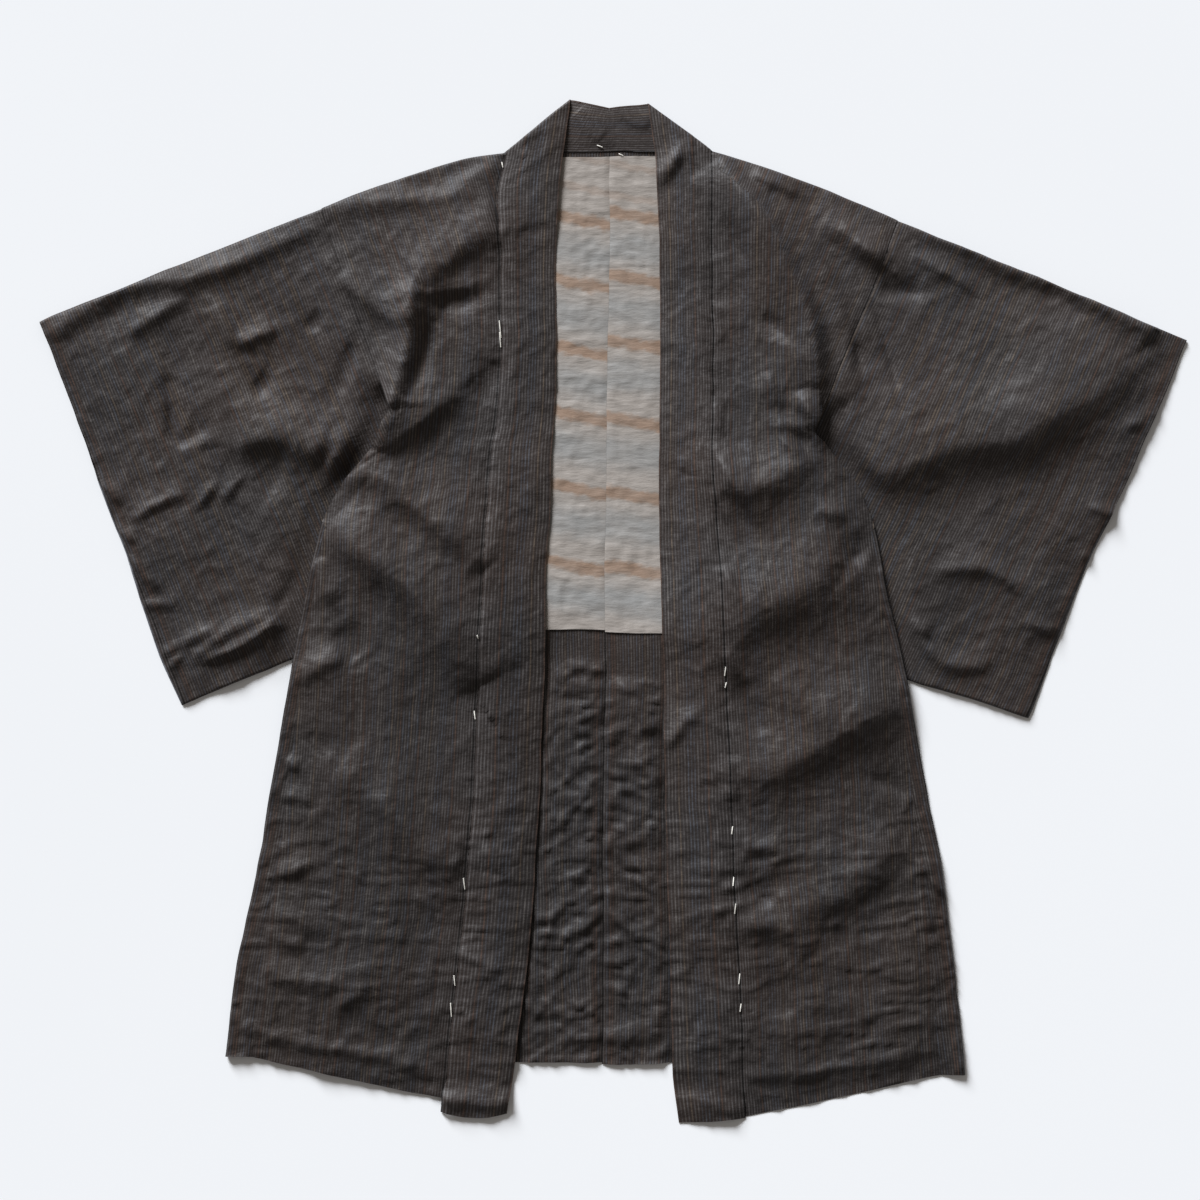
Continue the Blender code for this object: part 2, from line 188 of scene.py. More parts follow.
@dataclass
class Relief:
    """The heights of a set of creases.

    Args:
        creases: paths in out and y, or in x and y with a sign of 1.
        sign: -1 on the wearer's right half, where x runs against out.
        light: where the window light comes from, in plan.
        lit_spread: factor on the creases' widths on the lit side.
        dark_spread: factor on their widths on the other side.
        subdivisions: steps between two points of a path.
        sharpness: power that shapes the flanks.
        boost: how much more a slight crease is raised.
        slight: height of a crease that gets half of that.
        end_share: share of the full height at the ends of a path.
        reach: how many widths from the path a crease still counts.
    """

    creases: Sequence[Crease]
    sign: int
    light: tuple[float, float] = (-0.46, 0.888)
    lit_spread: float = 1.5
    dark_spread: float = 0.85
    subdivisions: int = 5
    sharpness: float = 1.7
    boost: float = 2.0
    slight: float = 5.0
    end_share: float = 0.30
    reach: float = 3.0

    def curve(self, crease: Crease) -> Array:
        """The crease's path in world x and y, rounded through its points."""
        points = np.array(crease.path, float) * (self.sign, 1)
        if len(points) == 2:
            return points
        ends = np.vstack([2 * points[0] - points[1], points, 2 * points[-1] - points[-2]])
        stretches = []
        for before, start, end, after in zip(ends, ends[1:], ends[2:], ends[3:]):
            for step in range(self.subdivisions):
                share = step / self.subdivisions
                stretches.append(
                    start
                    + 0.5 * share * (end - before)
                    + share**2 * (before - 2.5 * start + 2 * end - 0.5 * after)
                    + share**3 * (1.5 * (start - end) + 0.5 * (after - before))
                )
        return np.array(stretches + [points[-1]])

    def full_height(self, crease: Crease) -> float:
        """A crease's height, the slight ones raised more than the tall ones."""
        return crease.height * (1 + self.boost / (1 + abs(crease.height) / self.slight))

    def at(self, x: Array, y: Array) -> Array:
        """Heights in millimetres at points given in world millimetres."""
        height = np.zeros_like(x, dtype=float)
        for crease in self.creases:
            curve = self.curve(crease)
            margin = self.reach * max(crease.lit * self.lit_spread, crease.dark)
            low, high = curve.min(axis=0) - margin, curve.max(axis=0) + margin
            near = np.nonzero((x > low[0]) & (x < high[0]) & (y > low[1]) & (y < high[1]))[0]
            if not len(near):
                continue
            lengths = np.hypot(*np.diff(curve, axis=0).T)
            starts = np.concatenate([[0.0], np.cumsum(lengths)])
            best = np.full(len(near), np.inf)
            along = np.zeros(len(near))
            side = np.zeros(len(near))
            run, climb = curve[-1] - curve[0]
            lit_on_left = 1 if run * self.light[1] > climb * self.light[0] else -1
            for index, (start, end) in enumerate(zip(curve, curve[1:])):
                away, share, turn = segment_away(x[near], y[near], start, end)
                closer = away < best
                best = np.where(closer, away, best)
                along = np.where(closer, starts[index] + share * lengths[index], along)
                side = np.where(closer, turn * lit_on_left, side)
            position = along / starts[-1]
            bow = np.sqrt(np.clip(4 * position * (1 - position), 0, 1))
            taper = self.end_share + (1 - self.end_share) * bow
            width = np.where(side > 0, crease.lit * self.lit_spread, crease.dark * self.dark_spread)
            flank = np.exp(-((best / width) ** self.sharpness))
            height[near] += self.full_height(crease) * taper * flank
        return height


@dataclass
class Ripple:
    """Seeded smooth noise over the plan, from -1 to 1.

    Args:
        seed: picks the pattern.
        across: size of a cell across, in millimetres.
        along: size of a cell along, in millimetres.
        degrees: angle of the cells, anticlockwise.
        size: cells in a row before the pattern comes again.
        start: a place in the pattern, in cells, well away from its corner.
        narrowness: how soon a ridge falls away from its crest.
        sharpness: power that shapes a ridge.
    """

    seed: int
    across: float
    along: float
    degrees: float = 0.0
    size: int = 97
    start: tuple[float, float] = (31.7, 47.3)
    narrowness: float = 2.4
    sharpness: float = 1.5

    def __post_init__(self) -> None:
        """Draws the values at the corners of the cells."""
        self.lattice = np.random.default_rng(self.seed).uniform(-1, 1, (self.size, self.size))
        self.turned = math.radians(self.degrees)

    def at(self, x: Array, y: Array) -> Array:
        """The noise at points given in millimetres."""
        u = (x * math.cos(self.turned) + y * math.sin(self.turned)) / self.across + self.start[0]
        v = (y * math.cos(self.turned) - x * math.sin(self.turned)) / self.along + self.start[1]
        column, row = np.floor(u).astype(int), np.floor(v).astype(int)
        share_u, share_v = smooth(u - column), smooth(v - row)
        corner = [
            [self.lattice[(column + i) % self.size, (row + j) % self.size] for j in (0, 1)] for i in (0, 1)
        ]
        low = mix(corner[0][0], corner[1][0], share_u)
        high = mix(corner[0][1], corner[1][1], share_u)
        return mix(low, high, share_v)

    def ridged(self, x: Array, y: Array) -> Array:
        """Narrow ridges where the noise passes zero, from 0 to 1."""
        return np.clip(1 - self.narrowness * np.abs(self.at(x, y)), 0, 1) ** self.sharpness


@dataclass(frozen=True)
class Crinkle:
    """A ripple of the cloth: its height in millimetres and how finely it is drawn."""

    height: float
    ripple: Ripple
    ridged: bool = True
    finer: tuple[float, float] = (1.0, 1.0)

    def at(self, x: Array, y: Array) -> Array:
        """Heights at points given in millimetres."""
        pattern = self.ripple.ridged if self.ridged else self.ripple.at
        return self.height * pattern(x * self.finer[0], y * self.finer[1])


def crinkled(crinkles: Sequence[Crinkle], x: Array, y: Array) -> Array:
    """The heights of several crinkles together."""
    return sum(crinkle.at(x, y) for crinkle in crinkles)


BROAD = Ripple(11, 46, 62, 20)
SMALL = Ripple(12, 17, 23, -25)
FINE = Ripple(13, 21, 8.5)
LEVEL = Ripple(14, 34, 11, 3)
LENGTHWISE = Ripple(16, 13, 60, 8)
RISING = Ripple(17, 12, 34, -58)
FALLING = Ripple(18, 12, 34, 62)

SILK_CRINKLES = (
    Crinkle(2.8, BROAD, ridged=False), Crinkle(0.8, SMALL), Crinkle(0.3, FINE, ridged=False),
    Crinkle(0.7, RISING), Crinkle(0.5, FALLING),
)
LOW_CRINKLE = Crinkle(1.9, LEVEL)
LOW_START, LOW_REACH = -120, 160        # the level wrinkles begin at this y and are whole this far below
PUCKER = Crinkle(0.9, Ripple(15, 40, 7.5))
PUCKER_REACH = 13
BACK_CRINKLES = (
    Crinkle(2.2, LEVEL), Crinkle(0.9, FINE), Crinkle(1.8, RISING), Crinkle(1.8, FALLING),
    Crinkle(1.2, SMALL),
)
BACK_LIMIT = 7.0                        # the highest crinkle of the back
LINING_CRINKLES = (
    Crinkle(0.5, LEVEL, finer=(0.8, 1.0)), Crinkle(0.4, FINE, finer=(1.0, 1.3)),
    Crinkle(0.7, SMALL, finer=(1.6, 1.6)), Crinkle(0.6, LENGTHWISE, finer=(1.4, 1.0)),
)
WAVER_X = (Crinkle(1.5, Ripple(21, 75, 60), ridged=False), Crinkle(0.5, Ripple(23, 24, 20), ridged=False))
WAVER_Y = (Crinkle(1.5, Ripple(22, 60, 75), ridged=False), Crinkle(0.5, Ripple(24, 20, 24), ridged=False))


@dataclass(frozen=True)
class Cut:
    """One half of the garment: its outline, its seams and its creases, in millimetres.

    Args:
        side: the wearer's side.
        sign: 1 where x runs with out, -1 where it runs against it.
        neck: where collar seam and shoulder fold meet, in out and y as all points here.
        shoulder: where the shoulder fold meets the sleeve.
        cuff_top: the sleeve's upper corner.
        cuff_end: its lower corner.
        sleeve_end: its corner below the armhole.
        armhole_bow: how far the armhole seam bows outwards.
        mouth: share of the cuff that is open, from the top.
        armhole_y: lower end of the armhole seam.
        slit_y: upper end of the gusset; between the two the side is open.
        lining_y: the lining's hem.
        side_hem: y of the hem at the side; seam_hem, collar_hem and edge_hem are the same at the
            front's inner edge and at the band's two edges, and back_hem at the centre back.
        neck_tip: where the band's edge folds over at the neck.
        centre: how far out the centre back seam lies at the neck, at y = 0 and at the hem.
        gusset: half the gusset's width at the hem.
        crown: rise of the curved shoulder.
        outline: rows of the outline.
        turn: y and out of the fold past which the stripes follow the armhole.
        front_creases: creases of the front.
        sleeve_creases: creases of the sleeve.
        bands: how far below the neck the lining's bands lie.
        band_slope: their fall for each millimetre outwards.
        stitches: y and length of the basting stitches on the collar seam.
        cuff_bows: middle, spread and push of each bow of the cuff, along it from the bottom.
        sleeve_hem_bow: rise of the sleeve's bottom edge.
        band_over: whether the band lies over the front, or else under its edge.
        band_end_bow: drop of the middle of the band's end.
        hem_stitch: ends of the stitch near the hem.
    """

    side: str
    sign: int
    neck: tuple[float, float]
    shoulder: tuple[float, float]
    cuff_top: tuple[float, float]
    cuff_end: tuple[float, float]
    sleeve_end: tuple[float, float]
    armhole_bow: float
    mouth: float
    armhole_y: float
    slit_y: float
    lining_y: float
    side_hem: float
    seam_hem: float
    collar_hem: float
    edge_hem: float
    back_hem: float
    neck_tip: tuple[float, float]
    centre: tuple[float, float, float]
    gusset: float
    crown: float
    outline: tuple[Level, ...]
    turn: tuple[tuple[float, float], ...]
    front_creases: tuple[Crease, ...]
    sleeve_creases: tuple[Crease, ...]
    bands: tuple[float, ...]
    band_slope: float
    stitches: tuple[tuple[float, float], ...]
    cuff_bows: tuple[tuple[float, float, float], ...]
    sleeve_hem_bow: float
    band_over: bool
    band_end_bow: float
    hem_stitch: tuple[tuple[float, float], tuple[float, float]]

    def line(self, column: str, y: Array | float) -> Array:
        """How far out one line of the outline lies at height y, with its corners rounded."""
        rows = sorted(self.outline, key=lambda level: level.y)
        heights = [level.y for level in rows]
        values = [getattr(level, column) for level in rows]
        shifts = ((0.25, -LINE_SOFTNESS), (0.5, 0.0), (0.25, LINE_SOFTNESS))
        y = np.asarray(y, float)
        return sum(weight * np.interp(y + shift, heights, values) for weight, shift in shifts)

    def armhole(self, y: Array) -> Array:
        """How far out the armhole seam lies; below the armhole it is the sleeve's free edge."""
        share = (self.shoulder[1] - y) / (self.shoulder[1] - self.sleeve_end[1])
        bow = self.armhole_bow * 4 * share * (1 - share)
        return mix(self.shoulder[0], self.sleeve_end[0], share) + bow

    def centre_seam(self, y: Array) -> Array:
        """How far out the centre back seam lies."""
        return np.interp(y, (self.back_hem, 0, self.neck[1]), self.centre[::-1])

    def below_shoulder(self, out: Array, y: Array) -> Array:
        """How far a point lies below the shoulder line."""
        run, drop = self.shoulder[0] - self.neck[0], self.neck[1] - self.shoulder[1]
        away = (self.neck[1] - y) * run - (out - self.neck[0]) * drop
        return np.where(out > self.neck[0] - NECK_MARGIN, away / math.hypot(run, drop), FAR)

    def outside_sleeve(self, out: Array, y: Array, sides: int = 4) -> Array:
        """How far a point lies outside the sleeve's outline, negative inside it.

        Args:
            out: distance outwards.
            y: height up the garment.
            sides: 4 for the whole outline, or 3 to leave out the armhole.

        Returns:
            The distance in millimetres.
        """
        corners = (self.shoulder, self.cuff_top, self.cuff_end, self.sleeve_end)
        distances = []
        for corner, following in list(zip(corners, corners[1:] + corners[:1]))[:sides]:
            edge_out, edge_y = following[0] - corner[0], following[1] - corner[1]
            across = (out - corner[0]) * -edge_y + (y - corner[1]) * edge_out
            distances.append(across / math.hypot(edge_out, edge_y))
        return np.maximum.reduce(distances)

    def gusset_width(self, y: Array) -> Array:
        """Half the gusset's width at height y, from its upper end to the hem."""
        share = np.clip((self.slit_y - y) / (self.slit_y - self.side_hem), 0, 1)
        return mix(GUSSET_TOP, self.gusset, share)

    def side_of_body(self, y: Array) -> Array:
        """How far out the body panels reach: to the sleeve, the open slit or the gusset."""
        below = smooth((self.slit_y - y) / SLIT_TAPER)
        open_side = self.line("side", y) - below * (self.gusset_width(y) + SEAM)
        return mix(self.armhole(y) - SEAM, open_side, smooth((self.armhole_y - y) / ARMHOLE_END))

    def front_point(self, down: Array, across: Array) -> tuple[Array, Array]:
        """A point of the front in plan.

        Args:
            down: 0 at the shoulder fold to 1 at the hem.
            across: 0 at the collar seam to 1 at the side.

        Returns:
            out and y.
        """
        side_y = mix(self.shoulder[1], self.side_hem, down)
        inner_y = mix(self.neck[1], self.seam_hem, down)
        out = mix(self.line("seam", inner_y) - LAP, self.side_of_body(side_y), across)
        return out, mix(inner_y, side_y, across) + self.crown_rise(across, down)

    def crown_rise(self, across: Array, down: Array) -> Array:
        """Rise of the curved shoulder line above a straight one."""
        return self.crown * 4 * across * (1 - across) * np.maximum(0.0, 1 - CROWN_FADE * down)

    def back_point(self, down: Array, across: Array, neck_share: float) -> tuple:
        """A point of the back in plan.

        Args:
            down: 0 at the shoulder fold to 1 at the hem.
            across: 0 at the centre seam to 1 at the side.
            neck_share: the value of across where the neck ends and the shoulder begins.

        Returns:
            out and y.
        """
        side_y = mix(self.shoulder[1], self.side_hem, down)
        inner_y = mix(self.neck[1], self.back_hem, down)
        centre = self.centre_seam(inner_y) + SEAM / 2
        side = self.side_of_body(side_y)
        beyond = np.clip((across - neck_share) / (1 - neck_share), 0, 1)
        inner_out = mix(centre, self.neck[0], np.clip(across / neck_share, 0, 1))
        out = np.where(across <= neck_share, inner_out, mix(self.neck[0], side, beyond))
        return out, mix(inner_y, side_y, beyond) + self.crown_rise(beyond, down)

    def sleeve_point(self, across: Array, up: Array) -> tuple[Array, Array]:
        """A point of the sleeve in plan.

        Args:
            across: 0 at the armhole to 1 at the cuff.
            up: 0 at the bottom to 1 at the top fold.

        Returns:
            out and y.
        """
        inner_y = mix(self.sleeve_end[1], self.shoulder[1], up)
        cuff_out = mix(self.cuff_end[0], self.cuff_top[0], up)
        cuff_y = mix(self.cuff_end[1], self.cuff_top[1], up)
        for middle, spread, push in self.cuff_bows:
            cuff_out = cuff_out + push * np.exp(-(((up - middle) / spread) ** 2))
        hem = self.sleeve_hem_bow * np.sin(np.pi * np.clip(across, 0, 1)) * (1 - up) ** 4
        inner = self.armhole(inner_y) - LAP * smooth((inner_y - self.armhole_y - LAP_ABOVE) / LAP_GROWTH)
        return mix(inner, cuff_out, across), mix(inner_y, cuff_y, across) + hem

    def turned(self, y: Array) -> Array:
        """How far out the fold lies where the stripes turn from the collar's line to the armhole's."""
        return np.interp(y, *zip(*sorted(self.turn)))

    def beside_centre(self, out: Array, y: Array, least: float, reach: float) -> Array:
        """Share of the relief that is left: the least at the centre seam, all of it beyond a reach."""
        return mix(least, 1.0, smooth((out - self.centre_seam(y)) / reach))

    def above_armhole_end(self, y: Array, reach: float) -> Array:
        """0 below the armhole's end to 1 this far above it."""
        return smooth((y - self.armhole_y) / reach)

    def armhole_away(self, out: Array, y: Array) -> Array:
        """Distance from the armhole seam, or NO_SEAM below its end."""
        return np.where(y > self.armhole_y, np.abs(out - self.armhole(y)), NO_SEAM)


RIGHT = Cut(
    side="right", sign=-1, neck=(114, 485), shoulder=(309, 426), cuff_top=(608, 305),
    cuff_end=(453, -102), sleeve_end=(152, 20), armhole_bow=9, mouth=0.40,
    armhole_y=217, slit_y=95, lining_y=-47,
    side_hem=-473, seam_hem=-517, collar_hem=-531, edge_hem=-533, back_hem=-478,
    neck_tip=(46, 541), centre=(4, 9, 12), gusset=30, crown=7,
    outline=(
        Level(541, 46, 114, 309), Level(485, 54, 114, 309), Level(440, 59, 125, 290),
        Level(385, 62, 120, 270), Level(285, 59, 121, 240), Level(217, 61, 125, 238),
        Level(172, 64, 130, 253), Level(138, 66, 133, 285), Level(95, 68, 138, 309),
        Level(31, 71, 140, 324), Level(-69, 74, 144, 343), Level(-201, 78, 151, 364),
        Level(-296, 84, 158, 382), Level(-375, 91, 166, 400), Level(-473, 104, 177, 412),
        Level(-533, 114, 183, 419),
    ),
    turn=((150, 330), (175, 242), (275, 216), (345, 202), (400, 119), (430, 100)),
    front_creases=(
        Crease(8, 16, 2.5, ((305, 423), (230, 435), (180, 436), (120, 475))),
        Crease(24, 20, 6, ((205, 345), (152, 392), (120, 400))),
        Crease(12, 22, 12, ((208, 342), (222, 258), (252, 172))),
        Crease(14, 14, -4, ((188, 325), (148, 330))),
        Crease(8, 6, 3, ((197, 333), (145, 344))),
        Crease(11, 11, -4, ((192, 311), (202, 270), (220, 224))),
        Crease(15, 12, 4, ((291, 353), (255, 323), (228, 307), (211, 337))),
        Crease(20, 15, 6, ((242, 173), (205, 201), (168, 231))),
        Crease(12, 14, -3, ((126, 264), (139, 220))),
        Crease(18, 20, 8, ((285, 138), (252, 143), (221, 120), (158, 69), (137, 42))),
        Crease(34, 25, 14, ((298, 90), (262, 60), (215, 24), (178, -26), (146, -82))),
        Crease(10, 12, 3, ((320, 49), (296, 9))),
        Crease(12, 12, -3, ((296, -23), (270, -50))),
        Crease(12, 12, 3, ((340, -76), (287, -50))),
        Crease(10, 10, -1.5, ((323, -134), (296, -149))),
        Crease(10, 10, -1.5, ((257, -166), (246, -199))),
        Crease(6, 6, 1.8, ((346, -160), (333, -170))),
        Crease(6, 6, 1.8, ((349, -196), (320, -202))),
        Crease(28, 24, 6, ((290, -165), (240, -205), (200, -252), (160, -266))),
        Crease(10, 10, 2.5, ((362, -280), (318, -269))),
        Crease(10, 12, 2.5, ((362, -316), (318, -333), (295, -336))),
        Crease(8, 10, 2, ((368, -339), (328, -356))),
        Crease(10, 12, 2.5, ((371, -379), (331, -392), (278, -392))),
        Crease(8, 8, 2, ((289, -419), (256, -395))),
        Crease(5, 8, 1.5, ((395, -440), (339, -455), (262, -468), (183, -489))),
        Crease(5, 6, 1.5, ((139, -250), (116, -280))),
        Crease(5, 6, 1.5, ((163, -366), (122, -379))),
    ),
    sleeve_creases=(
        Crease(11, 13, 4, ((597, 290), (518, 339), (438, 352), (311, 405))),
        Crease(8, 9, 2.5, ((512, 291), (454, 329))),
        Crease(9, 9, 3, ((422, 323), (401, 281))),
        Crease(8, 9, 3, ((396, 281), (359, 297))),
        Crease(7, 7, -3, ((290, 230), (272, 279))),
        Crease(8, 8, -2.5, ((323, 307), (313, 297))),
        Crease(10, 10, -3, ((382, 241), (368, 231))),
        Crease(8, 8, -2.5, ((473, 244), (463, 180), (431, 194))),
        Crease(26, 22, 7, ((400, 176), (350, 180), (308, 166))),
        Crease(14, 14, 4, ((322, 160), (290, 180), (300, 120))),
        Crease(5, 5, 2, ((506, 97), (484, 111), (455, 124))),
        Crease(4, 4, 1.5, ((440, 111), (421, 134))),
        Crease(4, 4, 1.5, ((412, 118), (394, 143))),
        Crease(12, 12, -2.5, ((384, 161), (356, 164), (368, 118))),
        Crease(5, 6, 2, ((550, 140), (521, 115))),
        Crease(5, 6, 2, ((530, 87), (506, 71))),
        Crease(6, 6, 2, ((515, 55), (481, 21))),
        Crease(5, 6, 1.5, ((497, 5), (465, 8))),
        Crease(5, 6, 2, ((458, -35), (424, -19))),
        Crease(6, 7, 2, ((444, -51), (412, -25), (371, -6))),
        Crease(6, 3, 3, ((431, -55), (387, -34), (362, -18), (338, -18))),
        Crease(6, 6, -2.5, ((356, 2), (338, 24), (328, 31))),
        Crease(4, 4, 1.5, ((470, -62), (458, -48))),
        Crease(4, 4, 1.5, ((478, -48), (462, -38))),
    ),
    bands=(78, 146, 217, 288, 366, 446), band_slope=-0.22,
    stitches=(
        (472, 5), (297, 17), (286, 15), (-28, 3), (-111, 8), (-289, 12), (-392, 10), (-423, 14),
    ),
    cuff_bows=((0.16, 0.20, 7.0), (0.55, 0.10, 2.0)), sleeve_hem_bow=4.0,
    band_over=False, band_end_bow=6.0, hem_stitch=((131, -526), (122, -523)),
)
LEFT = Cut(
    side="left", sign=1, neck=(104, 485), shoulder=(302, 412), cuff_top=(608, 286),
    cuff_end=(436, -114), sleeve_end=(127, 4), armhole_bow=4, mouth=0.48,
    armhole_y=193, slit_y=88, lining_y=-65,
    side_hem=-493, seam_hem=-537, collar_hem=-538, edge_hem=-542, back_hem=-480,
    neck_tip=(37, 535), centre=(-4, -9, -12), gusset=27, crown=5,
    outline=(
        Level(535, 37, 104, 302), Level(485, 45, 104, 302), Level(385, 48, 105, 280),
        Level(270, 49, 104, 245), Level(193, 49, 104, 211), Level(152, 48, 105, 239),
        Level(140, 48, 106, 255), Level(88, 49, 109, 278), Level(14, 51, 115, 290),
        Level(-73, 53, 119, 312), Level(-201, 56, 125, 334), Level(-299, 57, 127, 351),
        Level(-404, 60, 134, 363), Level(-493, 63, 137, 373), Level(-542, 69, 140, 378),
    ),
    turn=((175, 300), (210, 219), (250, 214), (325, 197), (375, 178), (425, 157), (465, 111)),
    front_creases=(
        Crease(24, 13, 14, ((112, 476), (151, 418), (184, 356), (208, 300), (216, 236))),
        Crease(11, 12, 3, ((150, 462), (190, 410), (222, 352), (246, 290), (250, 236))),
        Crease(8, 8, 2.5, ((147, 462), (193, 439))),
        Crease(14, 12, 3, ((220, 412), (263, 383), (287, 362))),
        Crease(5, 5, -1.5, ((125, 409), (137, 370))),
        Crease(8, 8, -2, ((157, 311), (187, 284))),
        Crease(8, 8, 2, ((161, 250), (173, 217))),
        Crease(7, 9, 2, ((190, 227), (214, 200))),
        Crease(7, 9, 2.5, ((193, 220), (220, 190))),
        Crease(8, 8, 2.5, ((170, 194), (207, 188), (214, 175))),
        Crease(6, 7, 1.8, ((173, 181), (193, 164))),
        Crease(6, 6, 2, ((104, 214), (114, 188))),
        Crease(8, 8, 3, ((105, 171), (125, 135), (157, 91))),
        Crease(6, 6, 2, ((105, 128), (134, 78))),
        Crease(24, 24, 8, ((108, 140), (157, 132), (204, 160))),
        Crease(8, 10, 2, ((214, 105), (246, 99))),
        Crease(12, 12, -3, ((232, 23), (247, 49), (276, 71), (279, 42))),
        Crease(34, 40, 12, ((118, -20), (171, 8), (200, 26), (248, 55))),
        Crease(20, 20, 2, ((167, -73), (232, -119))),
        Crease(30, 28, 9, ((132, -176), (176, -165), (240, -129), (297, -97))),
        Crease(12, 12, -3, ((129, -79), (157, -131))),
        Crease(5, 6, 2, ((116, 46), (132, 9))),
        Crease(5, 5, 1.5, ((117, -44), (132, -70))),
        Crease(5, 5, 1.5, ((122, -154), (129, -201))),
        Crease(8, 8, -2, ((273, -179), (311, -192))),
        Crease(8, 10, 2.5, ((138, -250), (178, -256), (165, -270))),
        Crease(8, 8, -2, ((138, -293), (165, -312))),
        Crease(10, 12, 3, ((135, -338), (178, -336), (204, -368))),
        Crease(22, 22, 5, ((296, -236), (270, -280), (232, -306), (180, -325))),
        Crease(12, 12, -2.5, ((165, -388), (188, -428))),
        Crease(8, 10, -1.5, ((271, -435), (277, -455))),
        Crease(5, 5, 1.8, ((321, -266), (347, -299))),
        Crease(5, 5, 1.5, ((327, -308), (336, -338))),
        Crease(5, 8, 1.5, ((135, -497), (238, -484), (344, -467))),
        Crease(6, 7, 1.8, ((58, -144), (74, -119), (90, -109))),
    ),
    sleeve_creases=(
        Crease(9, 11, 3.5, ((315, 404), (373, 381), (437, 352), (474, 343), (527, 314), (580, 291))),
        Crease(6, 6, 2, ((320, 373), (365, 347), (377, 339))),
        Crease(10, 10, -3, ((281, 339), (327, 335))),
        Crease(10, 10, 3, ((252, 388), (281, 366))),
        Crease(4, 5, -1.8, ((274, 324), (289, 279), (300, 233))),
        Crease(4, 5, -1.5, ((255, 282), (262, 255))),
        Crease(56, 30, 12, (
            (259, 139), (308, 154), (373, 176), (421, 180), (459, 202), (505, 226), (543, 264),
        )),
        Crease(8, 8, 2.5, ((342, 40), (368, 43), (403, 40), (433, 17))),
        Crease(8, 8, 2.5, ((297, -5), (334, -24))),
        Crease(8, 8, 2.5, ((308, -17), (353, -58), (392, -58))),
        Crease(6, 6, 1.8, ((437, -13), (467, -24))),
        Crease(5, 5, 1.8, ((505, 110), (530, 100))),
        Crease(5, 5, 1.8, ((495, 60), (520, 48))),
        Crease(5, 5, 1.5, ((560, 200), (540, 190))),
    ),
    bands=(63, 130, 199, 281, 360, 438), band_slope=0.18,
    stitches=(
        (-64, 9), (-79, 5), (-232, 7), (-287, 9), (-317, 10), (-389, 10), (-420, 8),
    ),
    cuff_bows=((0.42, 0.12, -4.5), (0.02, 0.10, 3.0)), sleeve_hem_bow=-7.0,
    band_over=True, band_end_bow=1.0, hem_stitch=((79, -532), (81, -530)),
)

# Creases of the back panel between the collar bands, in world x and y.
BACK_CREASES = (
    Crease(5, 9, 2.0, ((-5, -53), (42, -130))),
    Crease(9, 8, 1.8, ((22, -150), (50, -190))),
    Crease(6, 6, 1.5, ((-11, -314), (45, -367))),
    Crease(6, 6, 1.5, ((-64, -355), (-15, -326))),
    Crease(9, 9, 1.2, ((-56, -453), (50, -448))),
    Crease(6, 6, 1.3, ((-56, -201), (-10, -214))),
    Crease(7, 7, 1.3, ((-8, -249), (44, -242))),
)
# Diagonal wrinkles where the collar band is folded at the back of the neck, in world x and y.
NECK_CREASES = (
    Crease(4, 4, 1.4, ((41, 452), (62, 470))),
    Crease(4, 4, 1.6, ((46, 445), (62, 465), (72, 490))),
    Crease(4, 4, 1.2, ((54, 470), (80, 482))),
    Crease(8, 8, 1.6, ((-40, 528), (-14, 498))),
    Crease(6, 8, 1.8, ((4, 535), (22, 520), (38, 515))),
)


# ---------------------------------------------------------------- how the cloth lies


def fold_rounding(away: Array, radius: Array | float) -> Array:
    """Share of the full gap between two layers at a distance from their fold."""
    inside = np.clip(1 - away / radius, 0, 1)
    return np.sqrt(np.maximum(1 - inside**2, 0))


def between(low: Array, high: Array, share: Array) -> Array:
    """A height from -1, the lower layer's, to 1, the upper layer's."""
    return (low + high) / 2 + (high - low) / 2 * share


def groove(away: Array, reach: float = SEAM_REACH) -> Array:
    """1 on a seam, fading to both sides of it."""
    return np.exp(-((away / reach) ** 2))


def fold_rows(front: float, back: float, front_rows: int, back_rows: int, radius: float) -> tuple:
    """Rows of a cloth that comes up to a fold, turns and goes back under itself.

    Args:
        front: length of the upper layer, in millimetres.
        back: length of the lower layer.
        front_rows: number of rows of the upper layer.
        back_rows: number of rows of the lower layer.
        radius: the fold's radius.

    Returns:
        The distance of each row from the fold, and 1 for the upper layer or -1 for the lower one.
    """
    away = np.concatenate([
        np.linspace(front, radius, front_rows + 1),
        radius * (1 - np.sin(FOLD_TURN)),
        np.linspace(radius, back, back_rows + 1),
    ])
    layer = np.where(np.arange(len(away)) <= front_rows + FOLD_STEPS, 1, -1)
    return away, layer


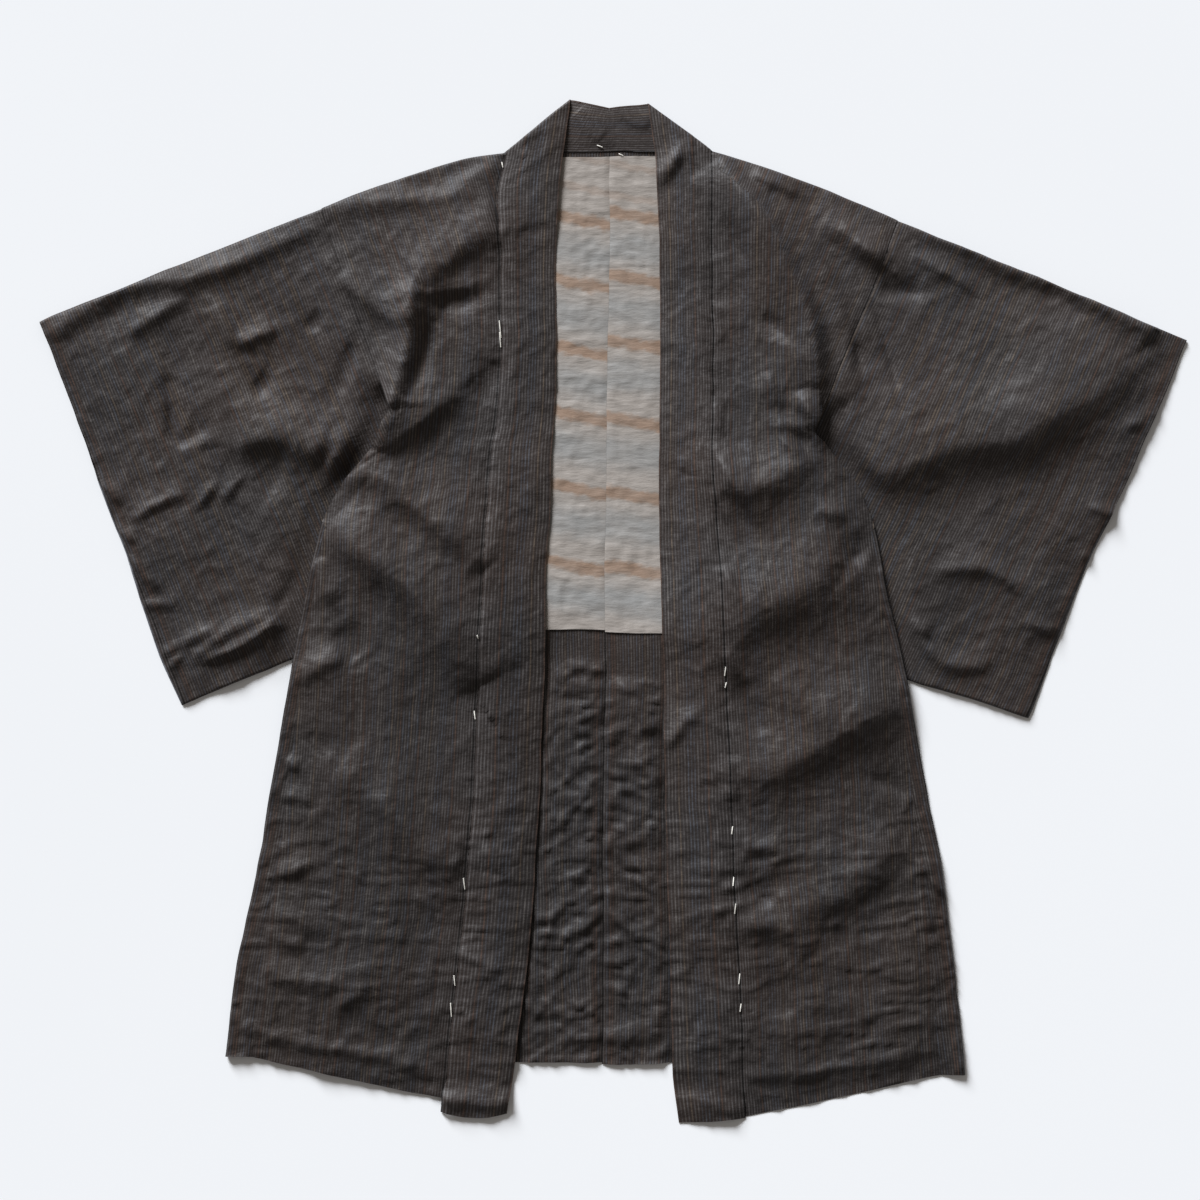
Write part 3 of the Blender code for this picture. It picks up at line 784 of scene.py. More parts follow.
@dataclass
class Drape:
    """Where the layers of one half lie above the table."""

    cut: Cut

    def __post_init__(self) -> None:
        """Makes the reliefs of this half."""
        self.front_relief = Relief(self.cut.front_creases, self.cut.sign)
        self.sleeve_relief = Relief(self.cut.sleeve_creases, self.cut.sign)
        self.back_relief = Relief(BACK_CREASES, 1)
        self.neck_relief = Relief(NECK_CREASES, 1)

    def world(self, out: Array) -> Array:
        """World x of a distance outwards."""
        return out * self.cut.sign

    def crinkle(self, out: Array, y: Array) -> Array:
        """The small unevenness of well-used silk, with level wrinkles low on the front."""
        x = self.world(out)
        low = smooth((LOW_START - y) / LOW_REACH)
        return crinkled(SILK_CRINKLES, x, y) + low * LOW_CRINKLE.at(x, y)

    def puckers(self, out: Array, y: Array, away: Array) -> Array:
        """Short wrinkles across a seam, at a distance away from it."""
        return PUCKER.at(self.world(out), y) * np.exp(-np.abs(away) / PUCKER_REACH)

    def back(self, out: Array, y: Array) -> Array:
        """Middle of the back panel, which rises where the sleeve is tucked under the body."""
        cut = self.cut
        near = smooth(1 - (cut.outside_sleeve(out, y) - TUCK_MARGIN) / TUCK_RAMP)
        below = smooth((cut.shoulder[1] - y) / (cut.shoulder[1] - cut.armhole_y - LIFT_ABOVE))
        return FLOOR_LAYER + TUCK_LIFT * near * below

    def uncovered(self, out: Array, y: Array) -> Array:
        """0 under the collar bands to 1 in the open strip between them."""
        return smooth((self.cut.line("edge", y) - out + UNDER_BAND) / OPEN_EDGE)

    def back_shown(self, out: Array, y: Array) -> Array:
        """Relief of the back panel where it is uncovered between the collar bands."""
        x = self.world(out)
        height = np.clip(self.back_relief.at(x, y) + crinkled(BACK_CRINKLES, x, y), 0, BACK_LIMIT)
        height = height * self.cut.beside_centre(out, y, least=0.25, reach=5)
        below_lining = smooth((self.cut.lining_y - BELOW_LINING - y) / OPEN_EDGE)
        return self.uncovered(out, y) * below_lining * height

    def folds(self, out: Array, y: Array) -> Array:
        """Height of the front's folds, the sleeve's among them where the armhole joins the two."""
        x = self.world(out)
        joined = self.cut.above_armhole_end(y, JOIN_REACH)
        return self.front_relief.at(x, y) + joined * self.sleeve_relief.at(x, y)

    def loose(self, height: Array) -> Array:
        """Heights with the troughs rounded off before the layer would sink into the one below."""
        above = (height + TROUGH_LIMIT) / TROUGH_SOFTNESS
        return TROUGH_SOFTNESS * np.logaddexp(0, above) - TROUGH_LIMIT

    def front(self, out: Array, y: Array, rise: float = FRONT_RISE) -> Array:
        """Middle of a layer that lies over the back and comes down to the table past its hem."""
        cut = self.cut
        past_hem = smooth((cut.back_hem - HEM_MARGIN - y) / HEM_DROP)
        side = np.where(y > cut.armhole_y, FAR, cut.line("side", y))
        inside = np.minimum.reduce([
            side - out, out - cut.line("edge", y), y - cut.side_hem, cut.below_shoulder(out, y),
        ])
        seam = np.abs(out - cut.line("seam", y))
        gusset_seam = np.where(y < cut.slit_y, np.abs(side - cut.gusset_width(y) - out), NO_SEAM)
        other = np.minimum(gusset_seam, cut.armhole_away(out, y))
        height = LOFT * smooth(inside / LOFT_REACH) + self.folds(out, y) + self.crinkle(out, y)
        height = height + self.puckers(out, y, gusset_seam) + COLLAR_PUCKERS * self.puckers(out, y, seam)
        height = self.loose(height) - SEAM_DIP * groove(seam) - SLIGHT_DIP * groove(other)
        return self.back(out, y) + rise * (1 - past_hem) + height + BELOW_HEM_RISE * past_hem

    def sleeve(self, out: Array, y: Array) -> Array:
        """Middle of the sleeve's front layer, which lies flat where the body covers it."""
        cut = self.cut
        beyond_body = smooth((out - cut.line("side", y) - SLEEVE_FLAT) / SLEEVE_RAMP)
        beside_armhole = smooth((y - cut.armhole_y - SLEEVE_FLAT) / SLEEVE_RAMP)
        x = self.world(out)
        joined = cut.above_armhole_end(y, JOIN_REACH)
        inside = -cut.outside_sleeve(out, y, sides=3)
        armhole = cut.armhole_away(out, y)
        height = LOFT * smooth(inside / LOFT_REACH) + self.crinkle(out, y)
        height = height + self.sleeve_relief.at(x, y) + joined * self.front_relief.at(x, y)
        height = self.loose(height + SLEEVE_PUCKERS * self.puckers(out, y, inside))
        lap = smooth((cut.armhole(y) + LAP_START - out) / LAP_RAMP) * (y > cut.armhole_y)
        height = height - SLIGHT_DIP * groove(armhole) - LAP_DIP * lap
        sewn = cut.above_armhole_end(y, SEWN_REACH) * groove(armhole, SEWN_REACH)
        height = height * np.maximum(beyond_body, beside_armhole)
        return self.sleeve_back(out, y) + SLEEVE_RISE + height + sewn * (FRONT_RISE - SLEEVE_RISE)

    def sleeve_back(self, out: Array, y: Array) -> Array:
        """Middle of the sleeve's back layer, which rises to the body where the two are sewn."""
        away = np.maximum(out - self.cut.armhole(y), 0)
        sewn = self.cut.above_armhole_end(y, SEWN_REACH) * smooth(1 - away / SLEEVE_SETTLE)
        return mix(FLOOR_LAYER, self.back(out, y), sewn)

    def shift(self, out: Array, y: Array) -> tuple[Array, Array]:
        """World x and y with the slight waver of every edge, the same for all pieces."""
        x = self.world(out)
        return x + crinkled(WAVER_X, x, y), y + crinkled(WAVER_Y, x, y)


# ---------------------------------------------------------------- meshes


def link(name: str, data: bpy.types.ID | None) -> bpy.types.Object:
    """A new object in this scene's collection."""
    added = bpy.data.objects.new(name, data)
    bpy.data.collections[COLLECTION].objects.link(added)
    return added


def as_mesh(name: str, mesh: bmesh.types.BMesh) -> bpy.types.Mesh:
    """Keeps a mesh under construction and frees it."""
    data = bpy.data.meshes.new(name)
    mesh.to_mesh(data)
    mesh.free()
    return data


@dataclass
class Laid:
    """Where vertices lie and their places on the flat cloth, in millimetres.

    u and v belong to the cloth. turned is its u where the stripes have turned, and past is how
    far beyond their turn a vertex lies.
    """

    out: Array
    y: Array
    z: Array
    u: Array
    v: Array
    turned: Array | None = None
    past: Array | None = None

    def __post_init__(self) -> None:
        """Leaves the stripes as they are where nothing else is said."""
        if self.turned is None:
            self.turned, self.past = self.u, np.full_like(self.u, UNTURNED)


@dataclass
class Sheet:
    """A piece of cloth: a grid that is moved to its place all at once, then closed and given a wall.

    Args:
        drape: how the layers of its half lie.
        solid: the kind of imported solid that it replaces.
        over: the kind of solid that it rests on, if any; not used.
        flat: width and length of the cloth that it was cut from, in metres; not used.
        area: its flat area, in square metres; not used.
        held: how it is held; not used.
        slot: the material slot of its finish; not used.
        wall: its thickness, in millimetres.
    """

    drape: Drape
    solid: str = ""
    over: str = ""
    flat: tuple[float, float] = (1.0, 1.0)
    area: float = 1.0
    held: Held = Held.LAID
    slot: Slot = Slot.SILK
    wall: float = CLOTH_WALL

    def __post_init__(self) -> None:
        """Lays out the grid."""
        self.cut = self.drape.cut
        self.length = self.cut.shoulder[1] - self.cut.side_hem
        self.columns, self.rows = self.lay_out()

    def lay_out(self) -> tuple[int, int]:
        """Number of columns and rows of the grid."""
        raise NotImplementedError

    def place(self, column: Array, row: Array) -> Laid:
        """Where each vertex of the grid goes."""
        raise NotImplementedError

    def keep(self, column: int, row: int) -> bool:
        """Whether a face of the grid is cloth; most grids keep every one."""
        return True

    def build(self, finish: bpy.types.Material) -> bpy.types.Object:
        side = self.cut.side
        name = f"{self.solid}_cloth_{side}"
        grid = bmesh.new()
        bmesh.ops.create_grid(grid, x_segments=self.columns, y_segments=self.rows, size=0.5)
        dropped = []
        for face in grid.faces:
            middle = face.calc_center_median()
            column, row = int((middle.x + 0.5) * self.columns), int((middle.y + 0.5) * self.rows)
            if not self.keep(column, row):
                dropped.append(face)
        bmesh.ops.delete(grid, geom=dropped, context="FACES")
        data = as_mesh(name, grid)
        self.move(data)
        self.close(data)
        data.materials.append(finish)
        piece = link(name, data)
        solidify = piece.modifiers.new("wall", "SOLIDIFY")
        solidify.thickness = self.wall * MM
        solidify.offset = 0.0
        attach(piece, BODY)
        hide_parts(f"{self.solid}_{side}")
        LOG.info("%s: %d faces", name, len(data.polygons))
        return piece

    def move(self, data: bpy.types.Mesh) -> None:
        """Puts every vertex in its place and lays the cloth's own coordinates on the faces."""
        flat = np.empty(len(data.vertices) * 3, np.float32)
        data.vertices.foreach_get("co", flat)
        flat = flat.reshape(-1, 3)
        column = np.rint((flat[:, 0] + 0.5) * self.columns).astype(int)
        row = np.rint((flat[:, 1] + 0.5) * self.rows).astype(int)
        laid = self.place(column, row)
        x, y = self.drape.shift(laid.out, laid.y)
        z = np.maximum(laid.z, self.wall / 2 + SEAM)
        data.vertices.foreach_set("co", (np.stack([x, y, z], 1) * MM).astype(np.float32).ravel())
        corners = np.empty(len(data.loops), np.int32)
        data.loops.foreach_get("vertex_index", corners)
        for name, pair in (("cloth", (laid.u, laid.v)), ("turned", (laid.turned, laid.past))):
            layer = data.uv_layers.new(name=name)
            values = (np.stack(pair, 1) * MM)[corners].astype(np.float32)
            layer.uv.foreach_set("vector", values.ravel())
        data.update()

    def close(self, data: bpy.types.Mesh) -> None:
        """Welds the sheet where it meets itself, turns its faces one way and sharpens its free edges."""
        mesh = bmesh.new()
        mesh.from_mesh(data)
        bmesh.ops.remove_doubles(mesh, verts=mesh.verts, dist=0.02 * MM)
        bmesh.ops.recalc_face_normals(mesh, faces=mesh.faces)
        for face in mesh.faces:
            face.smooth = True
        for edge in mesh.edges:
            edge.smooth = not edge.is_boundary
        mesh.to_mesh(data)
        mesh.free()


# ---------------------------------------------------------------- finishes


class Value:
    """A shader socket that takes part in Python arithmetic by adding Math nodes."""

    def __init__(self, dye: "Dye", socket: bpy.types.NodeSocket) -> None:
        """Wraps an output socket of a material."""
        self.dye = dye
        self.socket = socket

    def maths(self, operation: str, *values: "Value | float") -> "Value":
        """One Math node on these values."""
        inputs = dict(enumerate(values))
        return self.dye.node("ShaderNodeMath", {"operation": operation}, inputs)

    def __add__(self, other: "Value | float") -> "Value":
        """Sum."""
        return self.maths("ADD", self, other)

    __radd__ = __add__

    def __sub__(self, other: "Value | float") -> "Value":
        """Difference."""
        return self.maths("SUBTRACT", self, other)

    def __rsub__(self, other: float) -> "Value":
        """Reflected difference."""
        return self.maths("SUBTRACT", other, self)

    def __mul__(self, other: "Value | float") -> "Value":
        """Product."""
        return self.maths("MULTIPLY", self, other)

    __rmul__ = __mul__

    def __truediv__(self, other: "Value | float") -> "Value":
        """Quotient."""
        return self.maths("DIVIDE", self, other)

    def whole(self) -> "Value":
        """The whole number below."""
        return self.maths("FLOOR", self)

    def fraction(self) -> "Value":
        """What is left over the whole number."""
        return self.maths("FRACT", self)

    def away_from(self, middle: "Value | float") -> "Value":
        """Distance from a middle."""
        return (self - middle).maths("ABSOLUTE", self - middle)

    def step(self, start: float, end: float) -> "Value":
        """0 at start to 1 at end, with level ends; start may be the larger."""
        settings = {"interpolation_type": "SMOOTHSTEP"}
        inputs = {"Value": self, "From Min": start, "From Max": end}
        if start > end:
            inputs = {"Value": self, "From Min": end, "From Max": start, "To Min": 1.0, "To Max": 0.0}
        return self.dye.node("ShaderNodeMapRange", settings, inputs)


class Dye:
    """A material under construction: a Principled shader and the nodes that feed it."""

    def __init__(self, name: str, constants: dict[str, float | tuple]) -> None:
        """Starts a material.

        Args:
            name: the material's name.
            constants: values of the shader's own sockets that are the same all over.
        """
        self.material = bpy.data.materials.new(name)
        self.material.use_nodes = True
        self.tree = self.material.node_tree
        self.shader = self.tree.nodes["Principled BSDF"]
        for socket, value in constants.items():
            self.shader.inputs[socket].default_value = value

    def node(
        self, kind: str, settings: dict | None = None, inputs: dict | None = None, output: int | str = 0,
    ) -> Value:
        """Adds a node.

        Args:
            kind: the node's type.
            settings: attributes that are set first; "stops" fills a colour ramp.
            inputs: values or links of its sockets, by name or number.
            output: the socket that is wanted.

        Returns:
            The output, ready for arithmetic.
        """
        added = self.tree.nodes.new(kind)
        for key, value in (settings or {}).items():
            if key == "stops":
                self.fill_ramp(added.color_ramp, value)
            else:
                setattr(added, key, value)
        for key, value in (inputs or {}).items():
            if isinstance(value, Value):
                self.tree.links.new(value.socket, added.inputs[key])
            else:
                added.inputs[key].default_value = value
        return Value(self, added.outputs[output])

    def fill_ramp(self, ramp: bpy.types.ColorRamp, stops: Sequence[tuple]) -> None:
        """Sets a colour ramp's stops, given as position and colour."""
        while len(ramp.elements) < len(stops):
            ramp.elements.new(0.5)
        for element, (position, colour) in zip(ramp.elements, stops):
            element.position = position
            element.color = (*colour, 1.0)

    def cloth(self, name: str = "cloth") -> tuple[Value, Value]:
        """The cloth's own coordinates, in millimetres."""
        vector = self.node("ShaderNodeUVMap", {"uv_map": name})
        u, v = (self.node("ShaderNodeSeparateXYZ", None, {0: vector}, axis) for axis in "XY")
        return u / MM, v / MM

    def point(self, u: Value | float, v: Value | float, w: Value | float = 0.0) -> Value:
        """A vector from three values."""
        return self.node("ShaderNodeCombineXYZ", None, {0: u, 1: v, 2: w})

    def noise(self, vector: Value, scale: float, detail: float = 2.0, rough: float = 0.5) -> Value:
        """Noise from 0 to 1, most of it near a half."""
        inputs = {"Vector": vector, "Scale": scale, "Detail": detail, "Roughness": rough}
        return self.node("ShaderNodeTexNoise", {"noise_dimensions": "3D"}, inputs)

    def place(self) -> Value:
        """The piece's own place, in metres."""
        return self.node("ShaderNodeTexCoord", None, None, "Object")

    def dice(self, number: Value, shift: float) -> Value:
        """A random value for each whole number."""
        inputs = {"W": number + shift}
        return self.node("ShaderNodeTexWhiteNoise", {"noise_dimensions": "1D"}, inputs, "Value")

    def blend(self, share: Value | float, first: Value | tuple, second: Value | tuple) -> Value:
        """Two colours mixed by a share."""
        inputs = {0: share, 6: self.colour(first), 7: self.colour(second)}
        return self.node("ShaderNodeMix", {"data_type": "RGBA"}, inputs, 2)

    def colour(self, value: Value | tuple) -> Value | tuple:
        """A colour with its alpha."""
        return value if isinstance(value, Value) else (*value[:3], 1.0)

    def scaled(self, colour: Value | tuple, factor: Value) -> Value:
        """A colour made lighter or darker."""
        inputs = {0: colour, "Scale": factor}
        return self.node("ShaderNodeVectorMath", {"operation": "SCALE"}, inputs)

    def bump(self, height: Value, distance: float) -> None:
        """Raises the surface by this distance, in metres, where the height is 1."""
        inputs = {"Height": height, "Distance": distance, "Strength": 1.0}
        self.feed("Normal", self.node("ShaderNodeBump", None, inputs))

    def feed(self, socket: str, value: Value) -> None:
        """Links a value to the shader."""
        self.tree.links.new(value.socket, self.shader.inputs[socket])


@dataclass(frozen=True)
class StripedSilk:
    """Near-black silk with fine broken stripes of grey, slate, tan and rust, painted lighter towards the
    neck as a painted sheen and painted darker along its seams as a painted shadow.

    Args:
        name: the material's name.
        tone: factor on the colour; above 1 it paints a lighter copy of the same silk, a painted sheen.
        ground: colour between the stripes.
        warm_ground: the same where it has a brown cast.
        tints: the stripes' colours, each from a share of the stripes on.
        period: distance between two stripes, in millimetres.
        half_line: half of a stripe's width, as a share of the period.
        softness: of its edges, likewise.
        dash: length of the breaks in a stripe, in millimetres.
        slub: length of its stronger and weaker parts.
        strength: how much of its colour a stripe shows.
        seam_shade: share of the colour that is left in the collar seam, a painted shadow of its step; it
            darkens wherever the cloth's u is near 0.
        armhole_shade: the same painted shadow for the armhole seam.
    """

    name: str = "striped_silk"
    tone: float = 1.0
    ground: tuple[float, float, float] = (0.0235, 0.0195, 0.0185)
    warm_ground: tuple[float, float, float] = (0.0285, 0.0205, 0.0175)
    tints: tuple[tuple[float, tuple[float, float, float]], ...] = (
        (0.00, (0.088, 0.081, 0.080)),
        (0.36, (0.066, 0.070, 0.082)),
        (0.58, (0.098, 0.089, 0.084)),
        (0.76, (0.100, 0.078, 0.060)),
        (0.91, (0.080, 0.050, 0.038)),
    )
    period: float = 2.95
    half_line: float = 0.20
    softness: float = 0.07
    dash: float = 9.0
    slub: float = 46.0
    strength: float = 0.80
    seam_shade: float = 0.40
    armhole_shade: float = 0.45

    def material(self) -> bpy.types.Material:
        """The silk's material."""
        dye = Dye(self.name, {
            "Roughness": 0.52, "Sheen Weight": 0.08, "Sheen Roughness": 0.4,
            "Sheen Tint": (0.80, 0.86, 1.0, 1.0), "Specular IOR Level": 0.20,
        })
        u, v = dye.cloth()
        turned_u, turned_side = dye.cloth("turned")
        past = turned_side.step(-0.15, 0.15)
        # Painted shadow: masks that darken the colour along the collar seam, wherever else the cloth's u
        # is near 0, and along the armhole seam.
        seam = u.away_from(0.0).step(0.4, 1.6)
        armhole = 1.0 - past * turned_u.away_from(STRIPE_SHIFT).step(1.6, 0.4)
        u = u + (turned_u - u) * past
        place = dye.place()
        # The stripes, each with its own number, breaks and colour.
        across = u / self.period
        number = across.whole()
        edges = (self.half_line + self.softness, self.half_line - self.softness)
        line = across.fraction().away_from(0.5).step(*edges)
        dashes = dye.noise(dye.point(number * 3.17, v / self.dash, 0.0), 1.0, 1.0).step(0.36, 0.60)
        slubs = dye.noise(dye.point(number * 1.9, v / self.slub, 4.0), 1.0, 1.0).step(0.30, 0.62)
        share = line * (0.45 + 0.55 * dashes) * (0.55 + 0.45 * slubs)
        share = share * (0.80 + 0.20 * dye.dice(number, 3.3))
        tint = dye.node("ShaderNodeValToRGB", {"stops": self.tints}, {0: dye.dice(number, 91.7)})
        tint.socket.node.color_ramp.interpolation = "CONSTANT"
        cast = dye.noise(place, 7.0, 3.0)
        ground = dye.blend(cast.step(0.35, 0.65), self.ground, self.warm_ground)
        colour = dye.blend(share * self.strength, ground, tint)
        # Painted sheen: paler towards the neck. Real wear: uneven all over. Painted shadow: dark in the
        # seams.
        up = dye.node("ShaderNodeSeparateXYZ", None, {0: place}, "Y")
        painted_sheen = self.tone * (0.84 + 0.30 * up.step(-0.45, 0.45))
        grain = dye.noise(dye.point(u / 0.8, v / 1.7, 9.0), 1.0, 2.0, 0.7)
        # Random wear, times the painted sheen, then times the painted seam shadows below.
        wear_and_painted_light = painted_sheen * (0.82 + 0.36 * dye.noise(place, 17.0, 4.0, 0.6)) * (0.60 + 0.80 * grain)
        wear_and_painted_light = wear_and_painted_light * (self.seam_shade + (1 - self.seam_shade) * seam)
        wear_and_painted_light = wear_and_painted_light * (self.armhole_shade + (1 - self.armhole_shade) * armhole)
        dye.feed("Base Color", dye.scaled(colour, wear_and_painted_light))
        dye.feed("Roughness", 0.50 + 0.12 * dye.noise(place, 60.0, 3.0) - 0.05 * line)
        weave = dye.noise(dye.point(u / 0.9, v / 2.2), 1.0, 2.0)
        crinkle = dye.noise(dye.point(u / 9.0, v / 5.0, 7.0), 1.0, 3.0, 0.55)
        dye.bump(weave * 0.16 + crinkle * 0.62 + line * 0.05, 0.0012)
        return dye.material


@dataclass(frozen=True)
class BandedLining:
    """Pale lining dyed in level tan bands over cream and slate blue.

    Args:
        side: which half it is for.
        bands: how far below the neck the tan bands lie, in millimetres.
        slope: their fall for each millimetre outwards.
        cream: colour of the ground.
        slate: colour of its darker zones.
        tan: colour of the bands.
        half_band: half of a band's width.
        slate_drop: how far below a band a darker zone lies.
        faint: how far below the neck the fainter bands lie.
    """

    side: str
    bands: tuple[float, ...]
    slope: float
    cream: tuple[float, float, float] = (0.325, 0.290, 0.262)
    slate: tuple[float, float, float] = (0.255, 0.252, 0.246)
    tan: tuple[float, float, float] = (0.265, 0.168, 0.112)
    half_band: float = 6.0
    slate_drop: float = 35.0
    faint: tuple[float, ...] = (13.0, 45.0)

    def material(self) -> bpy.types.Material:
        """The lining's material."""
        dye = Dye(f"banded_lining_{self.side}", {
            "Roughness": 0.55, "Sheen Weight": 0.08, "Sheen Roughness": 0.4, "Specular IOR Level": 0.35,
        })
        u, v = dye.cloth()
        rough_edge = (dye.noise(dye.point(u / 14.0, v / 9.0, 1.0), 1.0, 3.0, 0.6) - 0.5) * 13.0
        level = v - u * self.slope + rough_edge
        edges = (self.half_band + 3.5, self.half_band - 3.0)
        tan = sum(level.away_from(band).step(*edges) for band in self.bands)
        tan = tan + sum(0.35 * level.away_from(band).step(6.0, 1.0) for band in self.faint)
        slate = sum(level.away_from(band + self.slate_drop).step(26.0, 4.0) for band in self.bands)
        patches = dye.noise(dye.point(u / 38.0, v / 24.0, 5.0), 1.0, 3.0)
        colour = dye.blend(slate * (0.35 + 0.9 * patches), self.cream, self.slate)
        colour = dye.blend(tan * (0.55 + 0.5 * patches), colour, self.tan)
        speck = 0.90 + 0.20 * dye.noise(dye.point(u / 2.4, v / 1.6, 2.0), 1.0, 2.0)
        dye.feed("Base Color", dye.scaled(colour, speck))
        dye.feed("Roughness", 0.50 + 0.14 * patches)
        weave = dye.noise(dye.point(u / 1.1, v / 1.1), 1.0, 2.0)
        wrinkles = dye.noise(dye.point(u / 26.0, v / 8.0, 3.0), 1.0, 3.0)
        dye.bump(weave * 0.10 + wrinkles * 0.9, 0.0012)
        return dye.material


@dataclass(frozen=True)
class BastingThread:
    """White cotton thread."""

    colour: tuple[float, float, float] = (0.72, 0.69, 0.63)

    def material(self) -> bpy.types.Material:
        """The thread's material."""
        dye = Dye("basting_thread", {"Roughness": 0.75, "Specular IOR Level": 0.3})
        place = dye.place()
        fibres = dye.noise(place, 1500.0, 3.0)
        dye.feed("Base Color", dye.scaled(self.colour, 0.85 + 0.3 * fibres))
        dye.bump(fibres, 0.0002)
        return dye.material


@dataclass(frozen=True)
class PaleFloor:
    """A matt white table."""

    colour: tuple[float, float, float] = (0.86, 0.865, 0.88)

    def material(self) -> bpy.types.Material:
        """The floor's material."""
        dye = Dye("pale_floor", {"Roughness": 0.9, "Specular IOR Level": 0.1})
        shade = 0.985 + 0.03 * dye.noise(dye.place(), 1.2, 2.0)
        dye.feed("Base Color", dye.scaled(self.colour, shade))
        return dye.material


# ---------------------------------------------------------------- pieces


@dataclass
class BodyCloth(Sheet):
    """A front and a back in one cloth, folded over the shoulder, with the neck left open."""

    solid: str = "body"
    over: str = "sleeve"
    flat: tuple[float, float] = (0.33, 1.95)
    area: float = 0.500
    front_columns: int = 60
    neck_columns: int = 34
    front_rows: int = 300
    back_rows: int = 290
    lip_drop: float = 1.3           # the front goes down along the open underarm
    lip_reach: float = 7.0
    band_start: float = 2.0         # and under the band, from this far outside the seam
    band_ramp: float = 3.0

    def lay_out(self) -> tuple[int, int]:
        """The fold lies across the columns."""
        rows = (self.front_rows, self.back_rows)
        self.away, self.layer = fold_rows(self.length, self.length, *rows, FRONT_FOLD)
        return self.neck_columns + self.front_columns, len(self.away) - 1

    def keep(self, column: int, row: int) -> bool:
        """The neck is open in the upper layer."""
        return column >= self.neck_columns or row >= self.front_rows + FOLD_STEPS

    def place(self, column: Array, row: Array) -> Laid:
        """Where each vertex of the grid goes."""
        cut, drape = self.cut, self.drape
        down = self.away[row] / self.length
        upper = self.layer[row] > 0
        across = np.clip((column - self.neck_columns) / self.front_columns, 0, 1)
        front_out, front_y = cut.front_point(down, across)
        back_out, back_y = cut.back_point(down, column / self.columns, self.neck_columns / self.columns)
        out, y = np.where(upper, front_out, back_out), np.where(upper, front_y, back_y)
        low, high = drape.back(out, y), drape.front(out, y)
        rounding = np.where(across > 0, fold_rounding(self.away[row], FRONT_FOLD), 1.0)
        side = cut.side_of_body(mix(cut.shoulder[1], cut.side_hem, down))
        lip = groove(side - out, self.lip_reach) * ((y > cut.slit_y) & (y < cut.armhole_y))
        under_band = smooth((cut.line("seam", y) + self.band_start - out) / self.band_ramp) * cut.band_over
        front_z = between(low, high, rounding) - self.lip_drop * lip - LAP_DIP * under_band
        back_z = np.where(across > 0, between(low, high, -rounding), low)
        back_z = back_z + drape.back_shown(out, y) * smooth(down * SETTLE)
        return Laid(
            out, y, np.where(upper, front_z, back_z),
            u=np.where(upper, out - cut.line("seam", y), cut.centre_seam(y) - out), v=y,
            turned=STRIPE_SHIFT - (cut.armhole(y) - out),
            past=np.where(upper & (y > TURN_BOTTOM), out - cut.turned(y), UNTURNED),
        )


@dataclass
class SleeveBag(Sheet):
    """The sleeve: a flat bag with a mouth at the upper cuff and an open armhole side."""

    solid: str = "sleeve"
    flat: tuple[float, float] = (0.36, 0.92)
    area: float = 0.300
    bag_columns: int = 104
    layer_rows: int = 128
    cuff_fold: float = 4.0
    mouth_end: float = 0.015        # the mouth closes over this share of the cuff
    back_shift: float = 611.0       # sets the stripes of the two layers apart

    def lay_out(self) -> tuple[int, int]:
        """The rows go up the front, over the top fold, down the back and round the bottom."""
        steps = np.linspace(0, 1, self.layer_rows + 1)
        flat, straight = 0 * steps, 0 * FOLD_TURN
        self.up = np.concatenate([steps, straight + 1, steps[::-1], straight, [0]])
        self.top_turn = np.concatenate([flat, FOLD_TURN, flat, straight, [0]])
        self.bottom_turn = np.concatenate([flat, straight, flat, FOLD_TURN, [0]])
        return self.bag_columns, len(self.up) - 1

    def place(self, column: Array, row: Array) -> Laid:
        """Where each vertex of the grid goes."""
        cut, drape = self.cut, self.drape
        ring = np.where(row == self.rows, 0, row)
        height = math.dist(cut.cuff_top, cut.cuff_end)
        width = math.dist(cut.cuff_top, cut.shoulder)
        fold = FRONT_FOLD / height
        across = column / self.columns
        top, bottom = self.top_turn[ring], self.bottom_turn[ring]
        up = fold + self.up[ring] * (1 - 2 * fold)
        up = np.where(top > 0, 1 - fold * (1 - np.sin(top)), up)
        up = np.where(bottom > 0, fold * (1 - np.sin(bottom)), up)
        upper = (ring <= self.layer_rows + FOLD_STEPS) | (ring > self.rows - FOLD_STEPS)
        out, y = cut.sleeve_point(across, up)
        below_mouth = 1 - cut.mouth - up
        from_cuff = fold_rounding((1 - across) * width, self.cuff_fold)
        rounding = fold_rounding(np.minimum(up, 1 - up) * height, FRONT_FOLD)
        rounding = rounding * mix(1.0, from_cuff, smooth(below_mouth / self.mouth_end))
        rounding = np.where((column == self.columns) & (below_mouth > self.mouth_end), 0.0, rounding)
        z = between(drape.sleeve_back(out, y), drape.sleeve(out, y), rounding * np.where(upper, 1, -1))
        cuff_x, cuff_y = cut.cuff_top[0] - cut.cuff_end[0], cut.cuff_top[1] - cut.cuff_end[1]
        u = ((out - cut.cuff_end[0]) * cuff_y - (y - cut.cuff_end[1]) * cuff_x) / height
        return Laid(out, y, z, u=u, v=up * height + np.where(upper, 0, self.back_shift))


